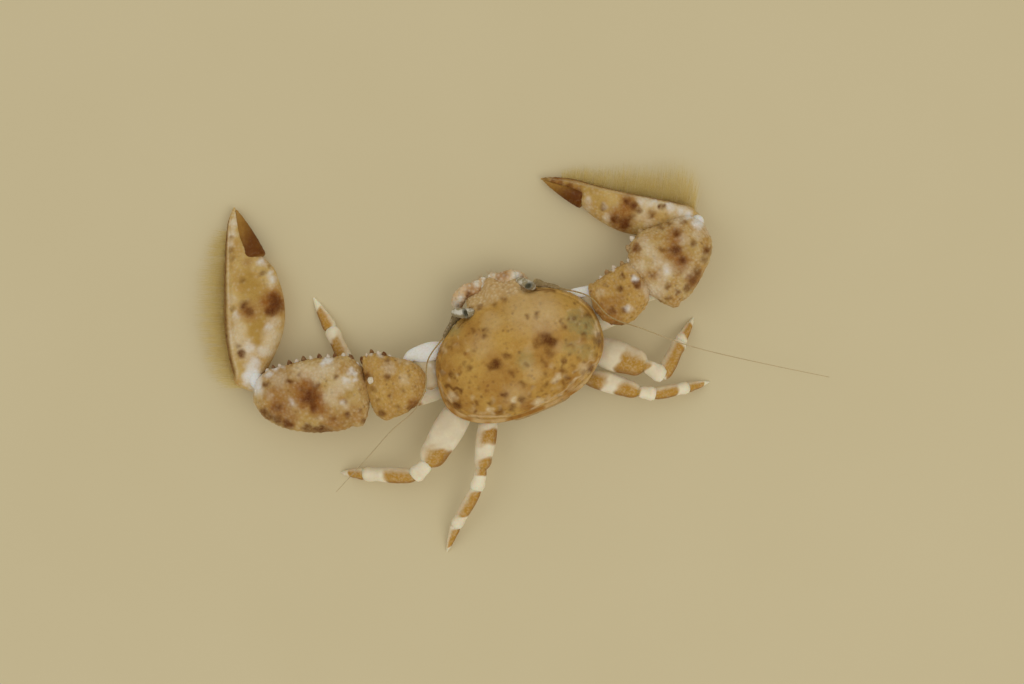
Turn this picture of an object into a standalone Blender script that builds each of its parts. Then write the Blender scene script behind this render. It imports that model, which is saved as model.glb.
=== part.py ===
"""Small porcelain crab, life size, standing with both claws spread.

The crab faces -Y and its left side is +X. Its feet and claws rest on z = 0.
Every plate and every segment of a limb is its own closed solid.
"""

import math

import bmesh
import bpy
import numpy as np
from mathutils import Vector

# Units and clearances
MM = 0.001
GAP = 0.3 * MM
FLOOR = 0.0

# Driving dimensions of the body
CARAPACE_WIDTH = 8.85 * MM
CARAPACE_FRONT = 3.12 * MM
CARAPACE_REAR = 2.95 * MM
CARAPACE_TOP = 4.2 * MM
RIM_HEIGHT = 2.3 * MM
CARAPACE_BASE = 1.85 * MM
STERNUM_TOP = 1.5 * MM
STERNUM_BASE = 1.0 * MM
FRONT_POWER = 2.1
REAR_POWER = 2.4

# The front between the eyes, which bends down and forward in three low lobes
FRONT_HALF_WIDTH = 1.8 * MM
FRONT_REACH = 0.78 * MM
FRONT_DROP = 0.42 * MM
FRONT_LOBE = 1.15 * MM

# Eyes
EYE_X = 1.78 * MM
EYE_Y = -3.1 * MM
EYE_Z = 2.75 * MM
EYE_SIZE = Vector((0.46, 0.36, 0.36)) * MM

# Mesh fineness
LIMB_SIDES = 12
THIN_SIDES = 8

SIDES = (("left", 1.0), ("right", -1.0))


def clear_scene():
    """Remove whatever objects the scene holds."""
    for item in list(bpy.data.objects):
        bpy.data.objects.remove(item, do_unlink=True)


def material(name, colour, roughness):
    """A plain shell colour for one group of pieces."""
    made = bpy.data.materials.get(name)
    if made is None:
        made = bpy.data.materials.new(name)
        made.use_nodes = True
        shader = made.node_tree.nodes["Principled BSDF"]
        shader.inputs["Base Color"].default_value = (*colour, 1.0)
        shader.inputs["Roughness"].default_value = roughness
        shader.inputs["Metallic"].default_value = 0.0
    return made


def shell_brown():
    return material("shell_brown", (0.32, 0.2, 0.1), 0.45)


def claw_tan():
    return material("claw_tan", (0.42, 0.29, 0.2), 0.45)


def leg_white():
    return material("leg_white", (0.75, 0.7, 0.62), 0.35)


def leg_band():
    return material("leg_band", (0.45, 0.22, 0.06), 0.4)


def eye_dark():
    return material("eye_dark", (0.03, 0.03, 0.05), 0.15)


def feeler_olive():
    return material("feeler_olive", (0.45, 0.38, 0.22), 0.5)


def under_white():
    return material("under_white", (0.72, 0.66, 0.55), 0.4)


def new_object(name, mesh):
    """Link a mesh into the scene as an object with outward faces."""
    shape = bmesh.new()
    shape.from_mesh(mesh)
    bmesh.ops.recalc_face_normals(shape, faces=shape.faces)
    if shape.calc_volume(signed=True) < 0:
        bmesh.ops.reverse_faces(shape, faces=shape.faces)
    shape.to_mesh(mesh)
    shape.free()
    made = bpy.data.objects.new(name, mesh)
    bpy.context.scene.collection.objects.link(made)
    return made


def finish(piece, skin):
    """Shade a piece smoothly and give it its material."""
    piece.data.materials.clear()
    piece.data.materials.append(skin)
    piece.data.shade_smooth()
    piece.data.set_sharp_from_angle(angle=math.radians(50))
    return piece


def along(table, t):
    """Smooth value at t from a short table of (t, value) pairs."""
    places = [row[0] for row in table]
    values = [row[1] for row in table]
    slopes = np.gradient(np.array(values), np.array(places))
    if t <= places[0]:
        return values[0]
    for i in range(len(places) - 1):
        if t <= places[i + 1]:
            width = places[i + 1] - places[i]
            u = (t - places[i]) / width
            start = (2 * u**3 - 3 * u**2 + 1) * values[i] + (u**3 - 2 * u**2 + u) * width * slopes[i]
            end = (3 * u**2 - 2 * u**3) * values[i + 1] + (u**3 - u**2) * width * slopes[i + 1]
            return start + end
    return values[-1]


def power(value, exponent):
    """Signed power, for rounded-square sections."""
    return math.copysign(abs(value) ** exponent, value)


def loft(name, rings, first, last):
    """Closed mesh from equal rings of points, with a point at each end."""
    shape = bmesh.new()
    rows = [[shape.verts.new(p) for p in ring] for ring in rings]
    sides = len(rows[0])
    for a, b in zip(rows, rows[1:]):
        for j in range(sides):
            k = (j + 1) % sides
            shape.faces.new((a[j], a[k], b[k], b[j]))
    start = shape.verts.new(first)
    stop = shape.verts.new(last)
    for j in range(sides):
        k = (j + 1) % sides
        shape.faces.new((start, rows[0][k], rows[0][j]))
        shape.faces.new((stop, rows[-1][j], rows[-1][k]))
    bmesh.ops.triangulate(shape, faces=shape.faces)
    mesh = bpy.data.meshes.new(name)
    shape.to_mesh(mesh)
    shape.free()
    return new_object(name, mesh)


def frame_along(axis):
    """The directions to the left of an axis and up from it."""
    left = Vector((0, 0, 1)).cross(axis).normalized()
    up = axis.cross(left).normalized()
    return left, up


def segment(name, start, end, left, right, top, bottom, steps=9, sides=LIMB_SIDES, square=2.0, lowest=None):
    """One limb segment between two points.

    left, right, top and bottom are tables of (t, reach) in metres, measured from the line
    start to end. The ends are round, because the steps crowd towards them.
    """
    axis = end - start
    across, up = frame_along(axis.normalized())
    rings = []
    for i in range(steps):
        t = 0.5 - 0.5 * math.cos(math.pi * (i + 0.6) / (steps + 0.2))
        ring = []
        for j in range(sides):
            angle = 2 * math.pi * j / sides
            c = power(math.cos(angle), 2 / square)
            s = power(math.sin(angle), 2 / square)
            reach = along(left if c > 0 else right, t)
            rise = along(top if s > 0 else bottom, t)
            point = start + axis * t + across * (c * reach) + up * (s * rise)
            ring.append(point)
        rings.append(ring)
    made = loft(name, rings, start, end)
    if lowest is not None:
        for vertex in made.data.vertices:
            vertex.co.z = max(vertex.co.z, lowest)
    return made


def in_metres(table):
    """A table of (t, reach) in millimetres as metres."""
    return [(t, reach * MM) for t, reach in table]


def round_ends(half, mid=1.0, tip=1.0):
    """A table of reaches in millimetres, full in the middle and rounded at both ends."""
    return in_metres([(0.0, half * 0.12), (0.06, half * 0.62), (0.2, half * 0.95), (0.5, half * mid),
                 (0.8, half * tip), (0.94, half * tip * 0.62), (1.0, half * tip * 0.12)])


def tube(name, points, radii, sides=THIN_SIDES):
    """A round tapering tube through points, with pointed ends."""
    rings = []
    for i, point in enumerate(points):
        before = points[max(i - 1, 0)]
        after = points[min(i + 1, len(points) - 1)]
        across, up = frame_along((after - before).normalized())
        ring = []
        for j in range(sides):
            angle = 2 * math.pi * j / sides
            ring.append(point + (across * math.cos(angle) + up * math.sin(angle)) * radii[i])
        rings.append(ring)
    first = points[0] - (points[1] - points[0]).normalized() * radii[0] * 0.5
    last = points[-1] + (points[-1] - points[-2]).normalized() * radii[-1]
    return loft(name, rings, first, last)


def smooth_path(points, count):
    """Points evenly spread on a smooth curve through a few given ones."""
    places = np.linspace(0.0, 1.0, len(points))
    tables = [list(zip(places, [p[k] for p in points])) for k in range(3)]
    return [Vector([along(table, t) for table in tables]) for t in np.linspace(0.0, 1.0, count)]


def ellipsoid(name, centre, size, segments=12, rings=8):
    """A closed ellipsoid."""
    shape = bmesh.new()
    bmesh.ops.create_uvsphere(shape, u_segments=segments, v_segments=rings, radius=1.0)
    for vertex in shape.verts:
        vertex.co = centre + Vector((vertex.co.x * size[0], vertex.co.y * size[1], vertex.co.z * size[2]))
    bmesh.ops.triangulate(shape, faces=shape.faces)
    mesh = bpy.data.meshes.new(name)
    shape.to_mesh(mesh)
    shape.free()
    return new_object(name, mesh)


def apply_boolean(piece, operation, cutters, solver="EXACT"):
    """Apply one Boolean of a collection of closed meshes to a piece and remove them."""
    group = bpy.data.collections.new("pieces")
    bpy.context.scene.collection.children.link(group)
    for cutter in cutters:
        for holder in list(cutter.users_collection):
            holder.objects.unlink(cutter)
        group.objects.link(cutter)
    step = piece.modifiers.new("join", "BOOLEAN")
    step.operation = operation
    step.operand_type = "COLLECTION"
    step.collection = group
    step.solver = solver
    bpy.context.view_layer.update()
    depsgraph = bpy.context.evaluated_depsgraph_get()
    result = bpy.data.meshes.new_from_object(piece.evaluated_get(depsgraph))
    piece.modifiers.clear()
    piece.data = result
    for cutter in cutters:
        bpy.data.objects.remove(cutter, do_unlink=True)
    bpy.data.collections.remove(group)
    keep_largest(piece)


def keep_largest(piece):
    """Keep only the largest closed surface of a piece."""
    shape = bmesh.new()
    shape.from_mesh(piece.data)
    bmesh.ops.remove_doubles(shape, verts=shape.verts, dist=0.002 * MM)
    bmesh.ops.triangulate(shape, faces=shape.faces)
    groups = []
    seen = set()
    for face in shape.faces:
        if face in seen:
            continue
        stack = [face]
        seen.add(face)
        group = []
        while stack:
            one = stack.pop()
            group.append(one)
            for edge in one.edges:
                for other in edge.link_faces:
                    if other not in seen:
                        seen.add(other)
                        stack.append(other)
        groups.append(group)
    groups.sort(key=lambda g: sum(f.calc_area() for f in g))
    loose = [face for group in groups[:-1] for face in group]
    bmesh.ops.delete(shape, geom=loose, context="FACES")
    shape.to_mesh(piece.data)
    shape.free()


def join(piece, others):
    """Fuse closed pieces into one."""
    if others:
        apply_boolean(piece, "UNION", others)
    return piece


def grown_copy(piece, gap):
    """A copy of a piece whose surface stands proud by the gap."""
    mesh = piece.data.copy()
    shape = bmesh.new()
    shape.from_mesh(mesh)
    shape.normal_update()
    moves = [(v, v.normal.copy()) for v in shape.verts]
    for vertex, normal in moves:
        vertex.co += normal * gap
    shape.to_mesh(mesh)
    shape.free()
    grown = bpy.data.objects.new("cutter", mesh)
    grown.hide_render = True
    grown.display_type = "WIRE"
    bpy.context.scene.collection.objects.link(grown)
    return grown


def cut_clear(piece, neighbours, gap=GAP):
    """Cut a piece back so that it keeps the gap to its neighbours."""
    apply_boolean(piece, "DIFFERENCE", [grown_copy(other, gap) for other in neighbours])
    return piece


def smooth(low, high, value):
    """0 below low, 1 above high, and a smooth step between them."""
    share = min(max((value - low) / (high - low), 0.0), 1.0)
    return share * share * (3.0 - 2.0 * share)


def dome_relief(x, y):
    """Low swellings of the stomach, gill and heart regions, in metres."""
    swellings = (
        (0.0, -1.35, 1.3, 0.9, 0.1),
        (2.7, 0.5, 1.2, 1.5, 0.12),
        (-2.7, 0.5, 1.2, 1.5, 0.12),
        (0.0, 1.4, 1.0, 0.8, 0.09),
    )
    total = 0.0
    for cx, cy, wide, long, high in swellings:
        away = ((x / MM - cx) / wide) ** 2 + ((y / MM - cy) / long) ** 2
        total += high * MM * math.exp(-away)
    return total


def dome_height(x, y, share):
    """Height of the carapace above a place whose distance to the middle is a share of the rim's."""
    crown = (CARAPACE_TOP - RIM_HEIGHT) * (1.0 - share**2.6) ** 0.62
    forward = -0.25 * MM * max(0.0, -y / CARAPACE_FRONT) ** 2
    return RIM_HEIGHT + crown + forward + dome_relief(x, y) * (1.0 - share**4)


def front_bend(x, y, share):
    """How far the front is pushed forward and down at a place, in metres."""
    if y > 0:
        return 0.0, 0.0
    amount = (1 - smooth(0.68, 1.0, abs(x) / FRONT_HALF_WIDTH)) * smooth(0.74, 1.0, share)
    lobes = 0.92 + 0.08 * math.cos(2 * math.pi * x / FRONT_LOBE)
    return amount * lobes * FRONT_REACH, amount * FRONT_DROP


def carapace_ring(share, spread, height=None, count=48):
    """One ring of the carapace, at a share of the way to the rim and with its outline scaled by spread."""
    ring = []
    for j in range(count):
        angle = 2 * math.pi * j / count
        bend = FRONT_POWER if math.sin(angle) < 0 else REAR_POWER
        length = CARAPACE_FRONT if math.sin(angle) < 0 else CARAPACE_REAR
        x = CARAPACE_WIDTH / 2 * spread * power(math.cos(angle), 2 / bend)
        y = length * spread * power(math.sin(angle), 2 / bend)
        z = dome_height(x, y, share) if height is None else height
        forward, down = front_bend(x, y, share)
        ring.append(Vector((x, y - forward, z - down)))
    return ring


def make_carapace(front_pieces):
    """The domed back shield with its bent-down front, hollowed for the eyes and mouth limbs."""
    rings = [carapace_ring(share, share) for share in (0.12, 0.3, 0.48, 0.64, 0.78, 0.86, 0.93, 0.975)]
    rings.append(carapace_ring(1.0, 1.0, RIM_HEIGHT - 0.1 * MM))
    rings.append(carapace_ring(1.0, 0.97, CARAPACE_BASE + 0.12 * MM))
    rings.append(carapace_ring(0.9, 0.88, CARAPACE_BASE))
    top = Vector((0, 0, dome_height(0, 0, 0)))
    shell = loft("carapace", rings, top, Vector((0, 0, CARAPACE_BASE)))
    cut_clear(shell, front_pieces)
    return finish(shell, shell_brown())


def make_eye(side, sign):
    """A short thick stalk with the dark eye at its end."""
    centre = Vector((EYE_X * sign, EYE_Y, EYE_Z))
    return finish(ellipsoid("eye_" + side, centre, EYE_SIZE, 12, 8), eye_dark())


def make_sternum():
    """The breast plate between the limbs, wider in front of the middle."""
    rows = ((-2.0, 0.9), (-1.6, 1.7), (-0.9, 2.4), (0.0, 2.7), (0.9, 2.5), (1.7, 1.9), (2.2, 1.2))
    outline = [(half, y) for y, half in rows] + [(-half, y) for y, half in reversed(rows)]
    rings = []
    for height, share in ((STERNUM_TOP, 0.9), (STERNUM_TOP - 0.1 * MM, 1.0),
                          (STERNUM_BASE + 0.15 * MM, 1.0), (STERNUM_BASE, 0.85)):
        rings.append([Vector((x * MM * share, y * MM * share, height)) for x, y in outline])
    first = Vector((0, 0, STERNUM_TOP))
    last = Vector((0, 0, STERNUM_BASE))
    return finish(loft("sternum", rings, first, last), under_white())


def make_abdomen():
    """The tail, bent forward under the body, as a chain of plates tapering to the front."""
    path = smooth_path([Vector(p) * MM for p in ((0, 2.55, 1.28), (0, 3.0, 1.1), (0, 2.95, 0.7),
                                                 (0, 2.3, 0.52), (0, 1.0, 0.5), (0, 0.1, 0.5))], 15)
    rings = []
    for i, point in enumerate(path):
        t = i / (len(path) - 1)
        before = path[max(i - 1, 0)]
        after = path[min(i + 1, len(path) - 1)]
        axis = (after - before).normalized()
        up = axis.cross(Vector((1, 0, 0)))
        half = along(in_metres([(0, 1.5), (0.25, 1.55), (0.6, 1.45), (1.0, 1.1)]), t) * (1.0 if i % 2 else 0.95)
        thick = 0.17 * MM
        ring = []
        for j in range(LIMB_SIDES):
            angle = 2 * math.pi * j / LIMB_SIDES
            c = power(math.cos(angle), 0.7)
            s = power(math.sin(angle), 0.7)
            ring.append(point + Vector((1, 0, 0)) * c * half + up * s * thick)
        rings.append(ring)
    made = loft("abdomen", rings, path[0], path[-1])
    return finish(made, under_white())


def make_tail_fan():
    """The end plate of the tail with two side blades on either hand."""
    middle = Vector((0, -0.75, 0.5)) * MM
    plate = ellipsoid("tail_fan", middle, Vector((0.6, 0.52, 0.2)) * MM, 14, 6)
    blades = []
    for _, sign in SIDES:
        for x, y in ((0.75, -0.62), (1.05, -0.45)):
            blades.append(ellipsoid("blade", Vector((x * sign, y, 0.5)) * MM,
                                    Vector((0.34, 0.5, 0.17)) * MM, 10, 6))
    join(plate, blades)
    return finish(plate, under_white())


def make_antennule(side, sign):
    """A short folded first feeler beneath the front edge."""
    path = smooth_path([Vector((x * sign, y, z)) * MM for x, y, z in
                        ((0.55, -2.95, 1.45), (0.62, -3.4, 1.6), (0.75, -3.6, 1.55))], 5)
    return finish(tube("antennule_" + side, path, [0.24 * MM] * 3 + [0.2 * MM, 0.15 * MM]), feeler_olive())


def make_peduncle(side, sign, carapace):
    """The thick base of the long feeler, lying along the front corner of the carapace."""
    path = smooth_path([Vector((x * sign, y, z)) * MM for x, y, z in
                        ((2.0, -3.35, 1.85), (2.7, -3.0, 1.9), (3.4, -2.5, 2.3))], 6)
    radii = [r * MM for r in (0.25, 0.32, 0.32, 0.3, 0.27, 0.22)]
    made = tube("antenna_base_" + side, path, radii)
    cut_clear(made, [carapace])
    return finish(made, claw_tan())


def make_flagellum(side, route):
    """The long whip of a feeler, tapering to its tip."""
    path = smooth_path([Vector(p) * MM for p in route], 22)
    radii = [(0.26 - 0.15 * i / 21) * MM for i in range(22)]
    return finish(tube("antenna_whip_" + side, path, radii, 6), feeler_olive())


def make_jaw_plate(side, sign):
    """The flat inner part of the outermost mouth limb."""
    start = Vector((0.75 * sign, -1.75, 0.95)) * MM
    end = Vector((1.3 * sign, -3.35, 1.15)) * MM
    half = round_ends(0.42)
    return finish(segment("mouth_limb_" + side + "_plate", start, end, half, half,
                          round_ends(0.24), round_ends(0.24), 7, 10), under_white())


def make_jaw_palp(side, sign):
    """The three bent end joints of the outermost mouth limb, showing before the face."""
    path = smooth_path([Vector((x * sign, y, z)) * MM for x, y, z in
                        ((1.72, -3.72, 1.35), (1.5, -3.95, 1.6), (1.0, -4.12, 1.75), (0.45, -4.3, 1.7))], 8)
    radii = [r * MM for r in (0.26, 0.34, 0.32, 0.28, 0.3, 0.26, 0.22, 0.14)]
    return finish(tube("mouth_limb_" + side + "_palp", path, radii), under_white())


# Claw limbs: centre lines as (x, y, z) in millimetres
CLAW_LINES = {
    "left": {
        "ischium": ((2.95, -1.2, 1.3), (5.35, -1.15, 2.1)),
        "merus": ((4.85, -0.8, 2.3), (7.95, -1.27, 2.35)),
        "carpus": ((7.7, -1.3, 2.3), (13.5, -3.15, 1.7)),
        "palm": ((13.35, -3.55, 1.25), (10.65, -12.75, 0.35)),
    },
    "right": {
        "ischium": ((-2.95, -1.2, 1.3), (-4.95, -1.1, 2.1)),
        "merus": ((-4.45, -0.6, 2.3), (-7.45, -0.75, 2.35)),
        "carpus": ((-7.1, -0.6, 2.3), (-11.3, -2.55, 1.7)),
        "palm": ((-11.3, -2.9, 1.25), (-4.6, -7.9, 0.35)),
    },
}

# Reach of each claw segment to its front and rear sides, as (share of length, mm)
CLAW_FRONT = {
    "left": {
        "merus": ((0.0, 0.1), (0.05, 0.45), (0.15, 0.85), (0.36, 1.2), (0.6, 1.6), (0.85, 1.75),
                  (0.96, 1.3), (1.0, 0.2)),
        "carpus": ((0.0, 0.15), (0.05, 1.0), (0.12, 1.6), (0.3, 1.8), (0.5, 1.8), (0.7, 1.6), (0.9, 1.25),
                   (0.97, 0.8), (1.0, 0.15)),
    },
    "right": {
        "merus": ((0.0, 0.1), (0.05, 0.9), (0.2, 1.2), (0.4, 1.3), (0.7, 1.45), (0.88, 1.35), (0.96, 0.9),
                  (1.0, 0.2)),
        "carpus": ((0.0, 0.2), (0.05, 1.1), (0.15, 1.75), (0.3, 2.3), (0.42, 2.0), (0.65, 1.5), (0.88, 0.95),
                   (0.96, 0.6), (1.0, 0.1)),
    },
}
CLAW_REAR = {
    "left": {
        "merus": ((0.0, 0.1), (0.05, 0.6), (0.2, 1.15), (0.4, 1.5), (0.65, 1.65), (0.88, 1.5), (0.97, 0.9),
                  (1.0, 0.2)),
        "carpus": ((0.0, 0.15), (0.05, 1.3), (0.2, 1.85), (0.4, 2.0), (0.62, 1.85), (0.82, 1.4), (0.94, 0.8),
                   (1.0, 0.15)),
    },
    "right": {
        "merus": ((0.0, 0.1), (0.05, 0.9), (0.2, 1.25), (0.45, 1.4), (0.7, 1.2), (0.9, 0.8), (1.0, 0.15)),
        "carpus": ((0.0, 0.2), (0.05, 1.4), (0.2, 1.95), (0.42, 2.0), (0.6, 1.8), (0.8, 1.45), (0.93, 0.9),
                   (1.0, 0.15)),
    },
}

# The hand, as shares of its length and reach in millimetres
PALM_OUTER = {
    "left": ((0.0, 0.15), (0.03, 0.7), (0.12, 1.0), (0.25, 1.15), (0.35, 1.17), (0.5, 1.05), (0.67, 0.86),
             (0.83, 0.63), (0.94, 0.36), (1.0, 0.06)),
    "right": ((0.0, 0.12), (0.05, 0.36), (0.15, 0.42), (0.3, 0.38), (0.5, 0.32), (0.67, 0.33), (0.8, 0.38),
              (0.92, 0.25), (1.0, 0.05)),
}
PALM_INNER = {
    "left": ((0.0, 0.15), (0.04, 0.4), (0.12, 0.85), (0.21, 1.4), (0.3, 1.8), (0.44, 2.04), (0.56, 1.92),
             (0.66, 1.62), (0.76, 1.0), (0.86, 0.45), (1.0, 0.03)),
    "right": ((0.0, 0.15), (0.04, 0.6), (0.12, 1.1), (0.21, 1.45), (0.3, 1.62), (0.42, 1.7), (0.55, 1.5),
              (0.66, 1.15), (0.76, 0.75), (0.86, 0.4), (1.0, 0.03)),
}
FINGER_ROOT = 0.7
FINGER_TIP = 0.985

# The hand's fringe: first and last share of the hand's length, count of locks, then the longest
# lock and the depth of the roots in millimetres
FRINGES = {
    "left": (0.06, 0.84, 22, 1.3, 0.4),
    "right": (0.07, 0.84, 20, 1.3, 0.22),
}
LOCK_HALF_WIDTH = 0.33 * MM
LOCK_HALF_THICKNESS = 0.25 * MM
LOCK_SIDES = 6


def claw_point(side, part, t, reach, rise=0.0):
    """A point beside a claw segment's centre line; reach is positive to the left of its way."""
    start, end = (Vector(p) * MM for p in CLAW_LINES[side][part])
    axis = end - start
    across, up = frame_along(axis.normalized())
    return start + axis * t + across * reach * MM + up * rise * MM


def claw_segment(side, sign, part, high, low):
    """The upper arm or the wrist segment of a claw limb."""
    start, end = (Vector(p) * MM for p in CLAW_LINES[side][part])
    front = in_metres(CLAW_FRONT[side][part])
    rear = in_metres(CLAW_REAR[side][part])
    left, right = (rear, front) if sign > 0 else (front, rear)
    return segment("claw_" + side + "_" + part, start, end, left, right,
                   round_ends(high, 1.05), round_ends(low, 1.0), 11, 16, 2.3)


def cone(root, tip, radius, sides=5):
    """A small pointed tooth with its root sunk in the piece it grows from."""
    across, up = frame_along((tip - root).normalized())
    ring = []
    for j in range(sides):
        angle = 2 * math.pi * j / sides
        ring.append(root + (across * math.cos(angle) + up * math.sin(angle)) * radius)
    return loft("tooth", [ring], root, tip)


def claw_teeth(side, sign, part, first, last, count, size):
    """Blunt teeth along the front edge of a claw segment, larger towards the middle."""
    front = -1.0 if sign > 0 else 1.0
    teeth = []
    for i in range(count):
        share = i / (count - 1)
        t = first + (last - first) * share
        reach = along(CLAW_FRONT[side][part], t)
        long = size * (0.75 + 0.5 * math.sin(math.pi * share) + 0.2 * (i % 2))
        root = claw_point(side, part, t, front * (reach - 0.3), 0.12)
        tip = claw_point(side, part, t, front * (reach + long), 0.3)
        teeth.append(cone(root, tip, size * 0.75 * MM))
    return teeth


def bristle_lock(root, middle, tip, wide, thick):
    """One flat tapered lock of bristles that bends on its way from root to tip."""
    axis = (tip - root).normalized()
    across, up = frame_along(axis)
    rings = []
    for centre, share in ((root, 1.0), (middle, 0.85), (middle * 0.35 + tip * 0.65, 0.5)):
        ring = []
        for j in range(LOCK_SIDES):
            angle = 2 * math.pi * j / LOCK_SIDES
            ring.append(centre + across * (math.cos(angle) * wide * share) + up * (math.sin(angle) * thick * share))
        rings.append(ring)
    return loft("lock", rings, root - axis * 0.1 * MM, tip)


def claw_fringe(side, sign):
    """The fringe along the hand's outer edge, as two overlapping tiers of bristle locks."""
    outer = 1.0 if sign > 0 else -1.0
    first, last, count, longest, depth = FRINGES[side]
    locks = []
    for i in range(count):
        share = i / (count - 1)
        t = first + (last - first) * share
        reach = along(PALM_OUTER[side], t)
        long = longest * (0.45 + 0.55 * math.sin(math.pi * min(0.15 + share, 1.0))) * (1.0 + 0.08 * math.sin(5 * i))
        tier = 1 if i % 2 else -1
        root = claw_point(side, "palm", t, outer * (reach - depth))
        middle = claw_point(side, "palm", t + 0.012, outer * (reach + long * 0.45))
        tip = claw_point(side, "palm", t + 0.045 + 0.01 * math.sin(3 * i), outer * (reach + long))
        root.z = (0.85 - 0.25 * share + 0.12 * tier) * MM
        middle.z = root.z + 0.08 * tier * MM
        tip.z = root.z + 0.02 * MM
        locks.append(bristle_lock(root, middle, tip, LOCK_HALF_WIDTH, LOCK_HALF_THICKNESS))
    return locks


def make_finger(side, sign):
    """The moving finger, a dark tapering blade."""
    inner = -1.0 if sign > 0 else 1.0
    root_reach = 0.75 if side == "left" else 0.5
    start = claw_point(side, "palm", FINGER_ROOT, inner * root_reach)
    end = claw_point(side, "palm", FINGER_TIP, inner * 0.12)
    half = in_metres([(0.0, 0.25), (0.05, 0.5), (0.2, 0.55), (0.6, 0.33), (1.0, 0.06)])
    tall = in_metres([(0.0, 0.2), (0.05, 0.45), (0.3, 0.48), (0.7, 0.28), (1.0, 0.08)])
    made = segment("claw_" + side + "_finger", start, end, half, half, tall, tall, 8, 10, 2.0, FLOOR)
    return finish(made, leg_band())


def make_palm(side, sign, finger, carpus):
    """The hand with its fixed finger, resting on the ground."""
    start, end = (Vector(p) * MM for p in CLAW_LINES[side]["palm"])
    outer = in_metres(PALM_OUTER[side])
    inner = in_metres(PALM_INNER[side])
    left, right = (outer, inner) if sign > 0 else (inner, outer)
    top = in_metres([(0.0, 0.15), (0.04, 0.55), (0.15, 0.85), (0.4, 1.0), (0.65, 0.8), (0.85, 0.45), (1.0, 0.12)])
    bottom = in_metres([(0.0, 0.15), (0.04, 0.6), (0.15, 1.0), (0.4, 1.15), (0.65, 0.85), (0.85, 0.55), (1.0, 0.2)])
    made = segment("claw_" + side + "_palm", start, end, left, right, top, bottom, 14, 16, 2.2, FLOOR)
    cut_clear(made, [finger, carpus])
    join(made, claw_fringe(side, sign))
    return finish(made, claw_tan())


# Walking legs: joints as (x, y, z) in millimetres, from the root outwards
LEG_LINES = {
    ("left", 1): ((2.45, 0.0, 1.25), (3.9, 0.1, 0.95), (7.35, -0.35, 0.75), (8.35, -2.0, 0.85),
                  (8.5, -5.05, 0.45), (8.72, -6.85, 0.0)),
    ("right", 1): ((-2.45, 0.0, 1.25), (-3.9, 0.1, 0.95), (-6.9, -0.2, 0.75), (-8.3, -0.15, 0.8),
                   (-10.1, -1.3, 0.45), (-10.75, -2.3, 0.0)),
    ("left", 2): ((2.2, 0.75, 1.25), (3.6, 1.25, 1.15), (6.6, 3.43, 1.75), (7.45, 3.7, 1.6),
                  (9.85, 2.6, 0.8), (10.95, 2.1, 0.0)),
    ("right", 2): ((-2.2, 0.75, 1.25), (-3.6, 1.25, 1.15), (-5.75, 3.1, 1.75), (-6.4, 3.95, 1.6),
                   (-7.95, 2.7, 0.8), (-9.1, 1.85, 0.0)),
    ("left", 3): ((1.5, 1.2, 1.25), (2.65, 2.35, 1.15), (4.1, 4.75, 1.6), (4.75, 5.6, 1.5),
                  (6.55, 7.0, 0.7), (7.5, 8.05, 0.0)),
    ("right", 3): ((-1.5, 1.2, 1.25), (-2.65, 2.35, 1.15), (-4.95, 4.25, 1.6), (-5.6, 4.65, 1.5),
                   (-7.4, 5.05, 0.7), (-8.55, 5.25, 0.0)),
}

# Half widths seen from above and half heights of the leg's segments, in millimetres
LEG_PARTS = ("coxa", "merus", "carpus", "propodus", "dactyl")
LEG_HALF_WIDTHS = {
    1: (0.38, 0.6, 0.42, 0.4, 0.3),
    2: (0.4, 0.78, 0.48, 0.42, 0.3),
    3: (0.32, 0.5, 0.4, 0.34, 0.26),
}
LEG_HALF_HEIGHTS = {
    1: (0.3, 0.38, 0.34, 0.34, 0.24),
    2: (0.3, 0.5, 0.4, 0.36, 0.25),
    3: (0.3, 0.42, 0.36, 0.32, 0.24),
}


def knuckle(half):
    """A table of reaches in millimetres, blunt at the root and rounded at the far end."""
    return in_metres([(0.0, half * 0.8), (0.1, half * 0.95), (0.3, half), (0.75, half * 0.95),
                 (0.92, half * 0.75), (1.0, half * 0.35)])


def blade(half, tip):
    """A table of reaches in millimetres, tapering from a rounded root to a blunt tip."""
    return in_metres([(0.0, half * 0.6), (0.1, half), (0.5, half * 0.8), (0.85, tip * 1.6), (1.0, tip)])


def make_leg(side, number, body):
    """One walking leg as five segments, each hollowed to fit round the end of the one before."""
    joints = [Vector(p) * MM for p in LEG_LINES[side, number]]
    before = body
    for i, part in enumerate(LEG_PARTS):
        wide = LEG_HALF_WIDTHS[number][i]
        high = LEG_HALF_HEIGHTS[number][i]
        name = "leg" + str(number) + "_" + side + "_" + part
        if part == "dactyl":
            half, tall, steps, sides = blade(wide, 0.1), blade(high, 0.1), 6, THIN_SIDES
        else:
            half, tall, steps, sides = knuckle(wide), knuckle(high), 7, 10
        made = segment(name, joints[i], joints[i + 1], half, half, tall, tall, steps, sides, 2.0, FLOOR)
        cut_clear(made, before)
        finish(made, leg_white() if i % 2 == 1 else leg_band())
        before = [made] + body[1:] if i < 1 else [made]


def make_fifth_leg(side, sign):
    """The small last leg, folded forward beside the tail and ending in a tiny pincer."""
    path = smooth_path([Vector((x * sign, y, z)) * MM for x, y, z in
                        ((1.95, 2.3, 0.62), (2.2, 1.6, 0.5), (2.15, 0.7, 0.48), (1.95, 0.05, 0.48))], 7)
    radii = [r * MM for r in (0.2, 0.26, 0.25, 0.22, 0.2, 0.25, 0.2)]
    made = tube("fifth_leg_" + side, path, radii)
    fingers = []
    for spread in (-0.12, 0.12):
        root = Vector(((1.97 + spread) * sign, 0.15, 0.48)) * MM
        tip = Vector(((1.85 + 1.6 * spread) * sign, -0.35, 0.48)) * MM
        half = in_metres([(0.0, 0.12), (0.4, 0.13), (1.0, 0.05)])
        fingers.append(segment("finger", root, tip, half, half, half, half, 4, 6))
    join(made, fingers)
    return finish(made, leg_white())


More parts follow.
